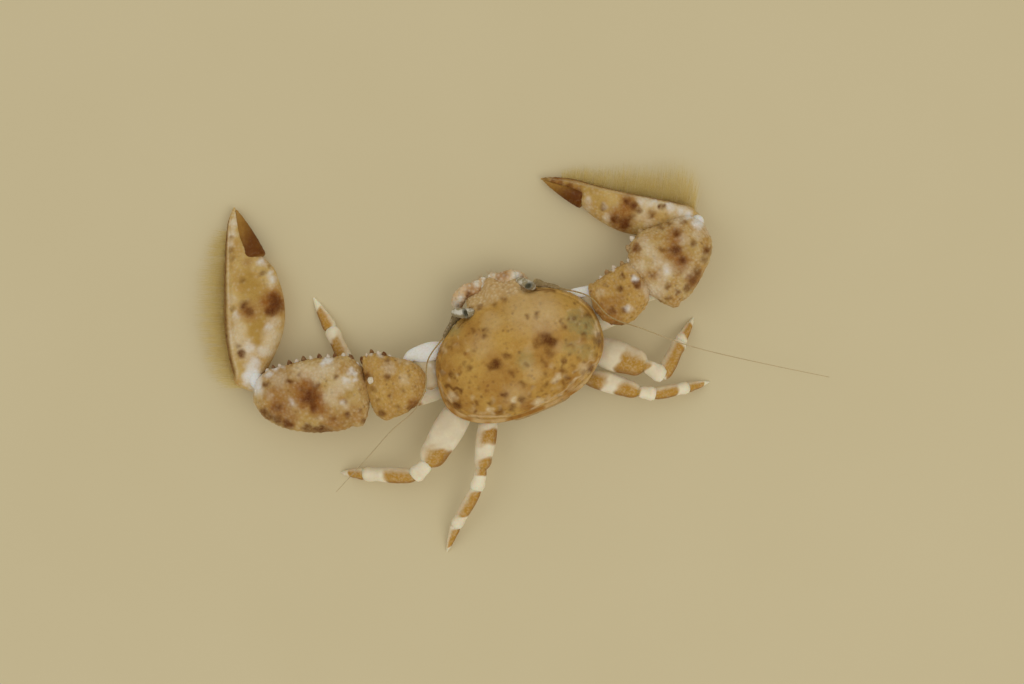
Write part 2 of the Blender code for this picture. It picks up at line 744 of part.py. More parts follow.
WHIP_ROUTES = {
    "left": ((3.75, -2.3, 2.75), (4.4, -1.5, 3.6), (5.1, -0.2, 3.9), (6.1, 0.6, 3.4), (7.6, 1.1, 2.4),
             (9.4, 1.95, 1.6), (11.5, 2.9, 1.0)),
    "right": ((-3.75, -2.3, 2.75), (-4.4, -1.3, 3.6), (-5.0, 0.1, 3.9), (-6.3, 1.3, 3.3), (-7.9, 2.8, 2.7),
              (-9.5, 4.05, 2.2), (-11.9, 5.75, 1.6), (-14.3, 7.4, 1.1)),
}


# Teeth on the front edge of each claw segment: first and last share, count, size in millimetres
CLAW_TEETH = {
    ("left", "merus"): (0.45, 0.92, 4, 0.22),
    ("left", "carpus"): (0.12, 0.84, 8, 0.24),
    ("right", "merus"): (0.3, 0.9, 5, 0.22),
    ("right", "carpus"): (0.1, 0.42, 4, 0.3),
}


def make_claw(side, sign, carapace, sternum):
    """A whole claw limb from the breast plate to the two fingertips."""
    merus = claw_segment(side, sign, "merus", 0.95, 0.9)
    cut_clear(merus, [carapace])
    start, end = (Vector(p) * MM for p in CLAW_LINES[side]["ischium"])
    half = in_metres([(0.0, 0.5), (0.1, 0.7), (0.5, 0.9), (0.9, 0.9), (1.0, 0.4)])
    tall = in_metres([(0.0, 0.3), (0.1, 0.4), (0.5, 0.5), (0.9, 0.6), (1.0, 0.3)])
    ischium = segment("claw_" + side + "_ischium", start, end, half, half, tall, tall, 7, 12, 2.3)
    cut_clear(ischium, [carapace, sternum, merus])
    finish(ischium, leg_white())
    carpus = claw_segment(side, sign, "carpus", 0.95, 0.9)
    cut_clear(carpus, [merus])
    finger = make_finger(side, sign)
    make_palm(side, sign, finger, carpus)
    for piece, part in ((merus, "merus"), (carpus, "carpus")):
        join(piece, claw_teeth(side, sign, part, *CLAW_TEETH[side, part]))
        finish(piece, claw_tan())


def set_down():
    """Hang every piece on one empty that puts the middle of the crab's outline over the origin."""
    pieces = [item for item in bpy.context.scene.objects if item.type == "MESH"]
    corners = [vertex.co for piece in pieces for vertex in piece.data.vertices]
    middle_x = (min(c.x for c in corners) + max(c.x for c in corners)) / 2
    middle_y = (min(c.y for c in corners) + max(c.y for c in corners)) / 2
    crab = bpy.data.objects.new("crab", None)
    bpy.context.scene.collection.objects.link(crab)
    crab.location = (-middle_x, -middle_y, 0.0)
    for piece in pieces:
        piece.parent = crab


def main():
    clear_scene()
    front_pieces = []
    for side, sign in SIDES:
        front_pieces += [make_eye(side, sign), make_antennule(side, sign), make_jaw_palp(side, sign)]
    carapace = make_carapace(front_pieces)
    sternum = make_sternum()
    make_abdomen()
    make_tail_fan()
    for side, sign in SIDES:
        make_peduncle(side, sign, carapace)
        make_flagellum(side, WHIP_ROUTES[side])
        make_jaw_plate(side, sign)
        make_fifth_leg(side, sign)
        for number in (1, 2, 3):
            make_leg(side, number, [sternum, carapace])
        make_claw(side, sign, carapace, sternum)
    set_down()


main()
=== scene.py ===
"""A small porcelain crab, life size, with its claws spread, seen from straight above.

Shapes are worked out in millimetres in the crab's own frame: it faces -Y, its left side is
+X, and the ground is z = 0. A piece is moved into the frame of the solids as it is made.
"""

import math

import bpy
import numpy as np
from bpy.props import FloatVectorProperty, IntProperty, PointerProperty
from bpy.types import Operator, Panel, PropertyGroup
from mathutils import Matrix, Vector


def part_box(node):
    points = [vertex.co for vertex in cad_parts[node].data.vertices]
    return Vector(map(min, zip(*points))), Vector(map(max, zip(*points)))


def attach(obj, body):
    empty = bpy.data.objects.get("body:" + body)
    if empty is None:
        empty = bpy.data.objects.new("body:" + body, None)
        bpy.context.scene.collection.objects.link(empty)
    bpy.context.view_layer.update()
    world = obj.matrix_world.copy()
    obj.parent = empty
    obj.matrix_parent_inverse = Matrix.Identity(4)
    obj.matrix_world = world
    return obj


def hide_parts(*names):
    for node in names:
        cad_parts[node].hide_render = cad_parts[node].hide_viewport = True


bl_info = {
    "name": "Small porcelain crab",
    "version": (1, 0, 0),
    "blender": (4, 5, 0),
    "location": "View3D > Sidebar > Crab",
    "description": "Shell, claws, legs, bristles and feelers of a life-size crab model",
    "category": "Add Mesh",
}

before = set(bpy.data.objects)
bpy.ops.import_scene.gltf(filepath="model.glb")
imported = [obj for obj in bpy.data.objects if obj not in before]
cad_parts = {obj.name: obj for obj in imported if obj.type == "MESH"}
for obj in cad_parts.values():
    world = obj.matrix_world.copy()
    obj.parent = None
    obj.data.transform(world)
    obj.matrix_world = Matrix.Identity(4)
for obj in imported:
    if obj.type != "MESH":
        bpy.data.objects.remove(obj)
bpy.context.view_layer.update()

# Units, and where the crab's own frame lies in the frame of the solids
MM = 0.001
SHELL_LOW, SHELL_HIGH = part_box("carapace")
CARAPACE_REAR = 2.95
HOME = Vector(((SHELL_LOW[0] + SHELL_HIGH[0]) / 2, SHELL_HIGH[1] - CARAPACE_REAR * MM, 0.0))

# The photograph's frame: the shell's middle, the turn of the crab, and one pixel in millimetres
PHOTO_WIDTH = 1024
PHOTO_HEIGHT = 684
PHOTO_MIDDLE = (519.0, 353.5)
PHOTO_TURN = math.radians(23.0)
PIXEL = 9.0 / 175

SIDES = (("left", 1.0), ("right", -1.0))
MASKS = ("dark", "rust", "pale", "white", "zone")

# Back shell, in millimetres
CARAPACE_WIDTH = 8.85
CARAPACE_FRONT = 3.12
CARAPACE_TOP = 4.2
RIM_HEIGHT = 2.3
CARAPACE_BASE = 1.85
FRONT_POWER = 2.1
REAR_POWER = 2.4
STERNUM_TOP = 1.5
STERNUM_BASE = 1.0


def crab_place(px, py):
    """The place of a photo pixel in the crab's frame, in millimetres."""
    dx, dy = px - PHOTO_MIDDLE[0], py - PHOTO_MIDDLE[1]
    to_right = dx * math.cos(PHOTO_TURN) - dy * math.sin(PHOTO_TURN)
    to_front = -dx * math.sin(PHOTO_TURN) - dy * math.cos(PHOTO_TURN)
    return -to_right * PIXEL, -to_front * PIXEL


# Small helpers for numbers
def smooth(low, high, value):
    """0 below low, 1 above high, and a smooth step between them."""
    share = np.clip((value - low) / (high - low), 0.0, 1.0)
    return share * share * (3.0 - 2.0 * share)


def power(value, exponent):
    """Signed power, for rounded-square sections."""
    return np.sign(value) * np.abs(value) ** exponent


def along(table, t):
    """Smooth values at t from a short table of (t, value) pairs."""
    places = np.array([row[0] for row in table], float)
    values = np.array([row[1] for row in table], float)
    slopes = np.gradient(values, places)
    t = np.clip(np.asarray(t, float), places[0], places[-1])
    i = np.clip(np.searchsorted(places, t, side="right") - 1, 0, len(places) - 2)
    width = places[i + 1] - places[i]
    u = (t - places[i]) / width
    start = (2 * u**3 - 3 * u**2 + 1) * values[i] + (u**3 - 2 * u**2 + u) * width * slopes[i]
    end = (3 * u**2 - 2 * u**3) * values[i + 1] + (u**3 - u**2) * width * slopes[i + 1]
    return start + end


def waves(points, size, seed, count=14):
    """Gentle unevenness from -1 to 1 over points, with swells about size across."""
    draw = np.random.default_rng(seed)
    ways = draw.normal(size=(count, 3))
    ways /= np.linalg.norm(ways, axis=1)[:, None]
    reach = draw.uniform(0.7, 1.4, count) * 2 * math.pi / size
    phase = draw.uniform(0, 2 * math.pi, count)
    total = np.zeros(points.shape[:-1])
    for k in range(count):
        total += np.sin(points @ (ways[k] * reach[k]) + phase[k])
    return total / math.sqrt(count)


def warped(points, reach=0.05, size=0.5, seed=41):
    """Places seen from above, shifted unevenly so that round marks get natural outlines."""
    x = points[..., 0] + reach * waves(points, size, seed)
    y = points[..., 1] + reach * waves(points, size, seed + 1)
    return x, y


def outside_mark(away, radius, edge, strength):
    """How much of the ground is left at a distance from a soft mark's middle."""
    inside = 1 - smooth(radius - edge, radius + edge, away)
    return 1 - inside * (strength[0] if strength else 1.0)


def spots(points, places):
    """How strongly each point lies in soft marks: (photo x, photo y, radius in pixels, strength)."""
    bare = np.ones(points.shape[:-1])
    wx, wy = warped(points)
    for px, py, radius, *strength in places:
        x, y = crab_place(px, py)
        away = np.hypot(wx - x, wy - y) / PIXEL
        bare *= outside_mark(away, radius, 1.4 + 0.45 * radius, strength)
    return 1.0 - bare


def streaks(points, lines):
    """How strongly each point lies on marks: (x, y, x, y, half width, strength), in photo pixels."""
    bare = np.ones(points.shape[:-1])
    wx, wy = warped(points)
    for ax, ay, bx, by, half, *strength in lines:
        x0, y0 = crab_place(ax, ay)
        x1, y1 = crab_place(bx, by)
        length = math.hypot(x1 - x0, y1 - y0)
        share = np.clip(((wx - x0) * (x1 - x0) + (wy - y0) * (y1 - y0)) / length**2, 0.0, 1.0)
        away = np.hypot(wx - x0 - share * (x1 - x0), wy - y0 - share * (y1 - y0)) / PIXEL
        bare *= outside_mark(away, half, 0.9 + 0.4 * half, strength)
    return 1.0 - bare


def frame_along(axis):
    """The directions to the left of an axis and up from it."""
    left = np.cross((0.0, 0.0, 1.0), axis)
    left /= np.linalg.norm(left)
    up = np.cross(axis, left)
    return left, up / np.linalg.norm(up)


def evenly(values, t):
    """Smooth values at t from some that are evenly spread from 0 to 1."""
    return along(list(zip(np.linspace(0.0, 1.0, len(values)), values)), t)


def smooth_path(points, count):
    """Points evenly spread on a smooth curve through a few given ones."""
    points = np.array(points, float)
    t = np.linspace(0.0, 1.0, count)
    return np.stack([evenly(points[:, k], t) for k in range(3)], 1)


def mirrored(route, sign):
    """A route that is given for the left side, on the side with this sign."""
    return [(x * sign, y, z) for x, y, z in route]


# Gathering the points and faces of a piece
class Form:
    """Points, faces and masks of one piece, in millimetres in the crab's frame."""

    def __init__(self):
        self.points = []
        self.faces = []
        self.masks = {name: [] for name in MASKS}
        self.patches = []
        self.count = 0

    def add(self, points, faces, patch=None, **masks):
        """Add points (n, 3) with faces that number them from 0."""
        points = np.asarray(points, float).reshape(-1, 3)
        self.points.append(points)
        for group in faces:
            if len(group):
                self.faces.extend((np.asarray(group) + self.count).tolist())
        for name in MASKS:
            self.masks[name].append(np.zeros(len(points)) + masks.get(name, 0.0))
        self.patches.append(np.zeros((len(points), 2)) if patch is None else patch)
        self.count += len(points)

    def piece(self, name, finish, replaced=(), bake=False):
        """Make the piece as an object that rides on the crab and takes the place of its solids."""
        mesh = bpy.data.meshes.new(name)
        points = np.concatenate(self.points) * MM + np.array(HOME)
        mesh.from_pydata(points.tolist(), [], self.faces)
        for mask in MASKS:
            values = np.concatenate(self.masks[mask])
            if values.any():
                layer = mesh.attributes.new(mask, "FLOAT", "POINT")
                layer.data.foreach_set("value", values.astype(np.float32))
        if bake:
            self.lay_patches(mesh)
        mesh.shade_smooth()
        mesh.materials.append(finish)
        made = bpy.data.objects.new(name, mesh)
        bpy.context.scene.collection.objects.link(made)
        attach(made, "root")
        if replaced:
            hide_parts(*replaced)
        return made

    def full(self, node, finish, slot):
        """Make the detailed piece that takes the place of one solid."""
        return self.piece(node + "_full", finish, [node])

    def lay_patches(self, mesh):
        """Give a bristle piece its own map, each bristle a small patch at its root's place."""
        places = np.concatenate(self.patches)
        corners = np.empty(len(mesh.loops), np.int32)
        mesh.loops.foreach_get("vertex_index", corners)
        layer = mesh.uv_layers.new(name="OFBake")
        layer.data.foreach_set("uv", places[corners].astype(np.float32).ravel())


def wrap_faces(rows, columns, first=None, last=None):
    """Faces of a grid closed round its columns, with end points at two further numbers."""
    i = np.arange(rows - 1)[:, None] * columns
    j = np.arange(columns)[None, :]
    k = (j + 1) % columns
    quads = np.stack([i + j, i + k, i + columns + k, i + columns + j], -1).reshape(-1, 4)
    fans = []
    around = np.arange(columns)
    after = (around + 1) % columns
    if first is not None:
        fans.append(np.stack([np.full(columns, first), after, around], 1))
    if last is not None:
        base = (rows - 1) * columns
        fans.append(np.stack([np.full(columns, last), base + around, base + after], 1))
    return [quads, *fans]


def grid_normals(points):
    """Outward directions over a grid closed round its columns."""
    round_way = np.roll(points, -1, 1) - np.roll(points, 1, 1)
    long_way = np.gradient(points, axis=0)
    normals = np.cross(round_way, long_way)
    return normals / np.maximum(np.linalg.norm(normals, axis=2, keepdims=True), 1e-9)


def add_loft(form, points, first, last, **masks):
    """Add a closed grid with its two end points; masks are given over the grid."""
    rows, columns = points.shape[:2]
    total = rows * columns
    everything = np.concatenate([points.reshape(-1, 3), [first], [last]])
    full = {}
    for name, value in masks.items():
        flat = np.asarray(value, float).reshape(rows, columns)
        full[name] = np.concatenate([flat.ravel(), [flat[0].mean(), flat[-1].mean()]])
    form.add(everything, wrap_faces(rows, columns, total, total + 1), **full)


def segment_grid(start, end, left, right, top, bottom, rows=60, columns=48, square=2.0, floor=None):
    """The grid of a limb segment between two points, with t and angle over it."""
    start, end = np.array(start, float), np.array(end, float)
    axis = end - start
    across, up = frame_along(axis / np.linalg.norm(axis))
    t = 0.5 - 0.5 * np.cos(math.pi * (np.arange(rows) + 0.3) / (rows - 0.4))
    angle = 2 * math.pi * np.arange(columns) / columns
    t, angle = np.meshgrid(t, angle, indexing="ij")
    c = power(np.cos(angle), 2 / square)
    s = power(np.sin(angle), 2 / square)
    reach = np.where(c > 0, along(left, t), along(right, t)) * c
    rise = np.where(s > 0, along(top, t), along(bottom, t)) * s
    points = start + axis * t[..., None] + across * reach[..., None] + up * rise[..., None]
    if floor is not None:
        points[..., 2] = np.maximum(points[..., 2], floor)
    return points, t, angle


def scaled(table, share):
    """A table with its values multiplied by a share."""
    return [(t, value * share) for t, value in table]


def add_tube(form, path, radii, columns=14, flat=1.0, rough=None, dots=(), **masks):
    """Add a round tapering tube along a path.

    rough gives the seed, count, size and height of granules, and dots gives dark photo marks.
    """
    path = np.asarray(path, float)
    ways = np.gradient(path, axis=0)
    ways /= np.linalg.norm(ways, axis=1)[:, None]
    angle = 2 * math.pi * np.arange(columns) / columns
    rings = []
    for point, way, radius in zip(path, ways, radii):
        across, up = frame_along(way)
        ring = point + (np.cos(angle)[:, None] * across + np.sin(angle)[:, None] * up * flat) * radius
        rings.append(ring)
    rings = np.array(rings)
    full = {name: np.repeat(np.asarray(value, float)[:, None], columns, 1) for name, value in masks.items()}
    if rough:
        rings, grains = raise_granules(rings, *rough, np.ones(rings.shape[:2]))
        full["pale"] = np.clip(full.get("pale", 0.0) + 0.5 * grains, 0, 1)
    if dots:
        full["dark"] = np.maximum(full.get("dark", 0.0), spots(rings, dots))
    add_loft(form, rings, path[0] - ways[0] * radii[0] * 0.4, path[-1] + ways[-1] * radii[-1], **full)


def add_ball(form, centre, size, rows=14, columns=20, **masks):
    """Add an ellipsoid."""
    down = math.pi * (np.arange(rows) + 0.5) / rows
    angle = 2 * math.pi * np.arange(columns) / columns
    down, angle = np.meshgrid(down, angle, indexing="ij")
    unit = np.stack([np.sin(down) * np.cos(angle), -np.sin(down) * np.sin(angle), np.cos(down)], -1)
    points = np.array(centre) + unit * np.array(size)
    top = np.array(centre) + (0, 0, size[2])
    low = np.array(centre) - (0, 0, size[2])
    full = {name: np.full(points.shape[:2], value) for name, value in masks.items()}
    add_loft(form, points, top, low, **full)


def add_tooth(form, root, tip, radius, **masks):
    """Add a blunt lobe with its root sunk in what it grows from."""
    root, tip = np.array(root, float), np.array(tip, float)
    steps = np.array([0.0, 0.4, 0.65, 0.82, 0.93, 1.0])
    path = root + (tip - root) * steps[:, None]
    add_tube(form, path, np.array([1.0, 1.0, 0.9, 0.7, 0.45, 0.2]) * radius, 12,
             **{name: np.full(6, value) for name, value in masks.items()})


# Node trees for materials
class Tree:
    """A node tree being filled, for a material or for a shader group."""

    def __init__(self, nodes):
        self.nodes = nodes

    def node(self, kind, inputs=None, **settings):
        """Add a node with its settings; an input is a value or an output socket."""
        made = self.nodes.nodes.new(kind)
        for key, value in settings.items():
            setattr(made, key, value)
        for key, value in (inputs or {}).items():
            self.put(made.inputs[key], value)
        return made

    def group(self, name, inputs):
        """Add one of the shared shader groups."""
        return self.node("ShaderNodeGroup", inputs, node_tree=group_named(name))

    def put(self, socket, value):
        """Link an output to a socket, or set the socket's own value."""
        if isinstance(value, bpy.types.NodeSocket):
            self.nodes.links.new(value, socket)
        elif isinstance(value, (tuple, list)) and len(value) == 3 and socket.type == "RGBA":
            socket.default_value = (*value, 1.0)
        else:
            socket.default_value = value

    def noise(self, vector, scale, detail=3.0, rough=0.55):
        """Noise as a value from 0 to 1."""
        made = self.node("ShaderNodeTexNoise", {"Vector": vector, "Scale": scale, "Detail": detail,
                                                "Roughness": rough})
        return made.outputs["Fac"]

    def cells(self, vector, scale, spread=1.0):
        """Distance to the nearest of scattered points."""
        made = self.node("ShaderNodeTexVoronoi", {"Vector": vector, "Scale": scale, "Randomness": spread})
        return made.outputs["Distance"]

    def maths(self, operation, a, b=0.5, clamp=False):
        """One sum of two values."""
        made = self.node("ShaderNodeMath", operation=operation, use_clamp=clamp)
        self.put(made.inputs[0], a)
        self.put(made.inputs[1], b)
        return made.outputs[0]

    def step(self, value, low, high, to_low=0.0, to_high=1.0):
        """A smooth step of a value from low to high."""
        made = self.node("ShaderNodeMapRange", {"Value": value, "From Min": low, "From Max": high,
                                                "To Min": to_low, "To Max": to_high},
                         interpolation_type="SMOOTHSTEP")
        return made.outputs["Result"]

    def mix(self, share, a, b, blend="MIX"):
        """A mix of two colours."""
        made = self.node("ShaderNodeMix", data_type="RGBA", blend_type=blend)
        self.put(made.inputs["Factor"], share)
        self.put(made.inputs[6], a)
        self.put(made.inputs[7], b)
        return made.outputs[2]


def shader_group(name, inputs, outputs):
    """A new shader group with named sockets, and its tree."""
    group = bpy.data.node_groups.new(name, "ShaderNodeTree")
    for label, kind, value in inputs:
        socket = group.interface.new_socket(name=label, in_out="INPUT", socket_type=kind)
        if value is not None:
            socket.default_value = value
    for label, kind in outputs:
        group.interface.new_socket(name=label, in_out="OUTPUT", socket_type=kind)
    tree = Tree(group)
    return group, tree, tree.node("NodeGroupInput"), tree.node("NodeGroupOutput")


COLOUR = "NodeSocketColor"
VALUE = "NodeSocketFloat"
VECTOR = "NodeSocketVector"


def mottle_group():
    """Uneven shell ground: two colours in soft clouds, with small dark specks and pale flecks."""
    group, tree, given, put = shader_group(
        "Shell mottle",
        (("Vector", VECTOR, None), ("Ground", COLOUR, (0.4, 0.27, 0.13, 1)),
         ("Shade", COLOUR, (0.2, 0.12, 0.05, 1)), ("Speck", COLOUR, (0.08, 0.04, 0.02, 1)),
         ("Fleck", COLOUR, (0.6, 0.5, 0.38, 1)), ("Cloud Scale", VALUE, 0.9),
         ("Speck Scale", VALUE, 5.0),
         ("Speck Amount", VALUE, 0.5), ("Fleck Amount", VALUE, 0.4)),
        (("Color", COLOUR), ("Roughness", VALUE), ("Height", VALUE)))
    at = given.outputs
    cloud = tree.noise(at["Vector"], at["Cloud Scale"], 4.0, 0.6)
    colour = tree.mix(tree.step(cloud, 0.34, 0.68), at["Ground"], at["Shade"])
    fine = tree.noise(at["Vector"], tree.maths("MULTIPLY", at["Cloud Scale"], 7.0), 4.0, 0.65)
    flecks = tree.maths("MULTIPLY", tree.step(fine, 0.5, 0.74), at["Fleck Amount"])
    colour = tree.mix(flecks, colour, at["Fleck"])
    dimmed = tree.maths("MULTIPLY", at["Speck Amount"], 0.45)
    dusk = tree.maths("MULTIPLY", tree.step(fine, 0.5, 0.28), dimmed)
    colour = tree.mix(dusk, colour, at["Speck"])
    bend = tree.node("ShaderNodeVectorMath", operation="MULTIPLY_ADD")
    warp = tree.node("ShaderNodeTexNoise", {"Vector": at["Vector"], "Scale": 4.0, "Detail": 1.0})
    tree.put(bend.inputs[0], warp.outputs["Color"])
    tree.put(bend.inputs[1], (0.12, 0.12, 0.12))
    tree.put(bend.inputs[2], at["Vector"])
    dots = tree.cells(bend.outputs[0], at["Speck Scale"])
    gate = tree.noise(at["Vector"], tree.maths("MULTIPLY", at["Speck Scale"], 0.45), 1.0)
    specks = tree.maths("MULTIPLY", tree.step(dots, 0.42, 0.08), tree.step(gate, 0.42, 0.6))
    specks = tree.maths("MULTIPLY", specks, at["Speck Amount"])
    colour = tree.mix(specks, colour, at["Speck"])
    tree.put(put.inputs["Color"], colour)
    tree.put(put.inputs["Roughness"], tree.step(fine, 0.2, 0.8, 0.4, 0.6))
    tree.put(put.inputs["Height"], tree.maths("ADD", fine, tree.maths("MULTIPLY", specks, -0.3)))
    return group


def ragged_group():
    """A mask with its soft edge feathered and its strength made uneven."""
    group, tree, given, put = shader_group(
        "Ragged mark",
        (("Vector", VECTOR, None), ("Mask", VALUE, 0.0), ("Scale", VALUE, 4.0),
         ("Break Up", VALUE, 0.7)),
        (("Mask", VALUE),))
    at = given.outputs
    uneven = tree.maths("SUBTRACT", tree.noise(at["Vector"], at["Scale"], 4.0, 0.65), 0.5)
    swing = tree.maths("MULTIPLY", uneven, tree.maths("MULTIPLY", at["Break Up"], 2.4))
    grown = tree.maths("ADD", 1.0, swing)
    soft = tree.maths("MULTIPLY", at["Mask"], grown, True)
    fine = tree.noise(at["Vector"], tree.maths("MULTIPLY", at["Scale"], 3.5), 3.0, 0.6)
    tree.put(put.inputs["Mask"], tree.maths("MULTIPLY", soft, tree.step(fine, 0.3, 0.6, 0.75, 1.0)))
    return group


def grain_group():
    """Fine granules and short wavy lines raised on the shell, as a height."""
    group, tree, given, put = shader_group(
        "Shell grain",
        (("Vector", VECTOR, None), ("Granule Scale", VALUE, 9.0), ("Granules", VALUE, 0.5),
         ("Lines", VALUE, 0.3)),
        (("Height", VALUE),))
    at = given.outputs
    dots = tree.cells(at["Vector"], at["Granule Scale"])
    granules = tree.maths("MULTIPLY", tree.step(dots, 0.55, 0.1), at["Granules"])
    wave = tree.node("ShaderNodeTexWave", {"Vector": at["Vector"], "Scale": 2.6, "Distortion": 5.0,
                                           "Detail": 3.0, "Detail Scale": 1.6},
                     wave_type="BANDS", bands_direction="Y")
    lines = tree.maths("MULTIPLY", wave.outputs["Fac"], at["Lines"])
    tree.put(put.inputs["Height"], tree.maths("ADD", granules, lines))
    return group


def group_named(name):
    """One of the shared shader groups, built the first time that it is asked for."""
    makers = {"Shell mottle": mottle_group, "Ragged mark": ragged_group, "Shell grain": grain_group}
    return bpy.data.node_groups.get(name) or makers[name]()


def new_material(name, roughness=0.5, coat=0.0, soft=0.0):
    """A material with its tree, shader and millimetre coordinates."""
    made = bpy.data.materials.new(name)
    made.use_nodes = True
    tree = Tree(made.node_tree)
    shader = made.node_tree.nodes["Principled BSDF"]
    shader.inputs["Roughness"].default_value = roughness
    shader.inputs["Specular IOR Level"].default_value = 0.1
    shader.inputs["Coat Weight"].default_value = coat
    shader.inputs["Coat Roughness"].default_value = 0.2
    shader.inputs["Subsurface Weight"].default_value = soft
    shader.inputs["Subsurface Radius"].default_value = (1.0, 0.6, 0.35)
    shader.inputs["Subsurface Scale"].default_value = 0.35 * MM
    place = tree.node("ShaderNodeTexCoord")
    grown = tree.node("ShaderNodeVectorMath", operation="SCALE")
    tree.put(grown.inputs[0], place.outputs["Object"])
    grown.inputs["Scale"].default_value = 1 / MM
    return made, tree, shader, grown.outputs[0]


def mask_value(tree, name):
    """A mask that the mesh carries."""
    return tree.node("ShaderNodeAttribute", attribute_name=name).outputs["Fac"]


def shell_finish(name, ground, shade, marks, roughness=0.5, coat=0.05, soft=0.1, cloud=0.9,
                 speck_scale=5.0, specks=0.5, flecks=0.4, granules=0.5, lines=0.0, granule_scale=9.0,
                 bump=0.25, speck_colour=(0.14, 0.055, 0.018), fleck_colour=(0.66, 0.52, 0.34)):
    """Shell with clouded ground, specks, and marks given as (mask, colour, break-up, scale)."""
    made, tree, shader, place = new_material(name, roughness, coat, soft)
    mottle = tree.group("Shell mottle", {
        "Vector": place, "Ground": ground, "Shade": shade, "Speck": speck_colour, "Fleck": fleck_colour,
        "Cloud Scale": cloud, "Speck Scale": speck_scale, "Speck Amount": specks, "Fleck Amount": flecks})
    colour = mottle.outputs["Color"]
    for mask, mark, break_up, scale in marks:
        ragged = tree.group("Ragged mark", {"Vector": place, "Mask": mask_value(tree, mask),
                                            "Scale": scale, "Break Up": break_up})
        colour = tree.mix(ragged.outputs["Mask"], colour, mark)
    grain = tree.group("Shell grain", {"Vector": place, "Granule Scale": granule_scale,
                                       "Granules": granules, "Lines": lines})
    fine = tree.maths("MULTIPLY", mottle.outputs["Height"], 0.5)
    height = tree.maths("ADD", grain.outputs["Height"], fine)
    raised = tree.node("ShaderNodeBump", {"Strength": bump, "Distance": 0.05 * MM, "Height": height})
    tree.put(shader.inputs["Base Color"], colour)
    tree.put(shader.inputs["Roughness"], mottle.outputs["Roughness"])
    tree.put(shader.inputs["Normal"], raised.outputs["Normal"])
    return made


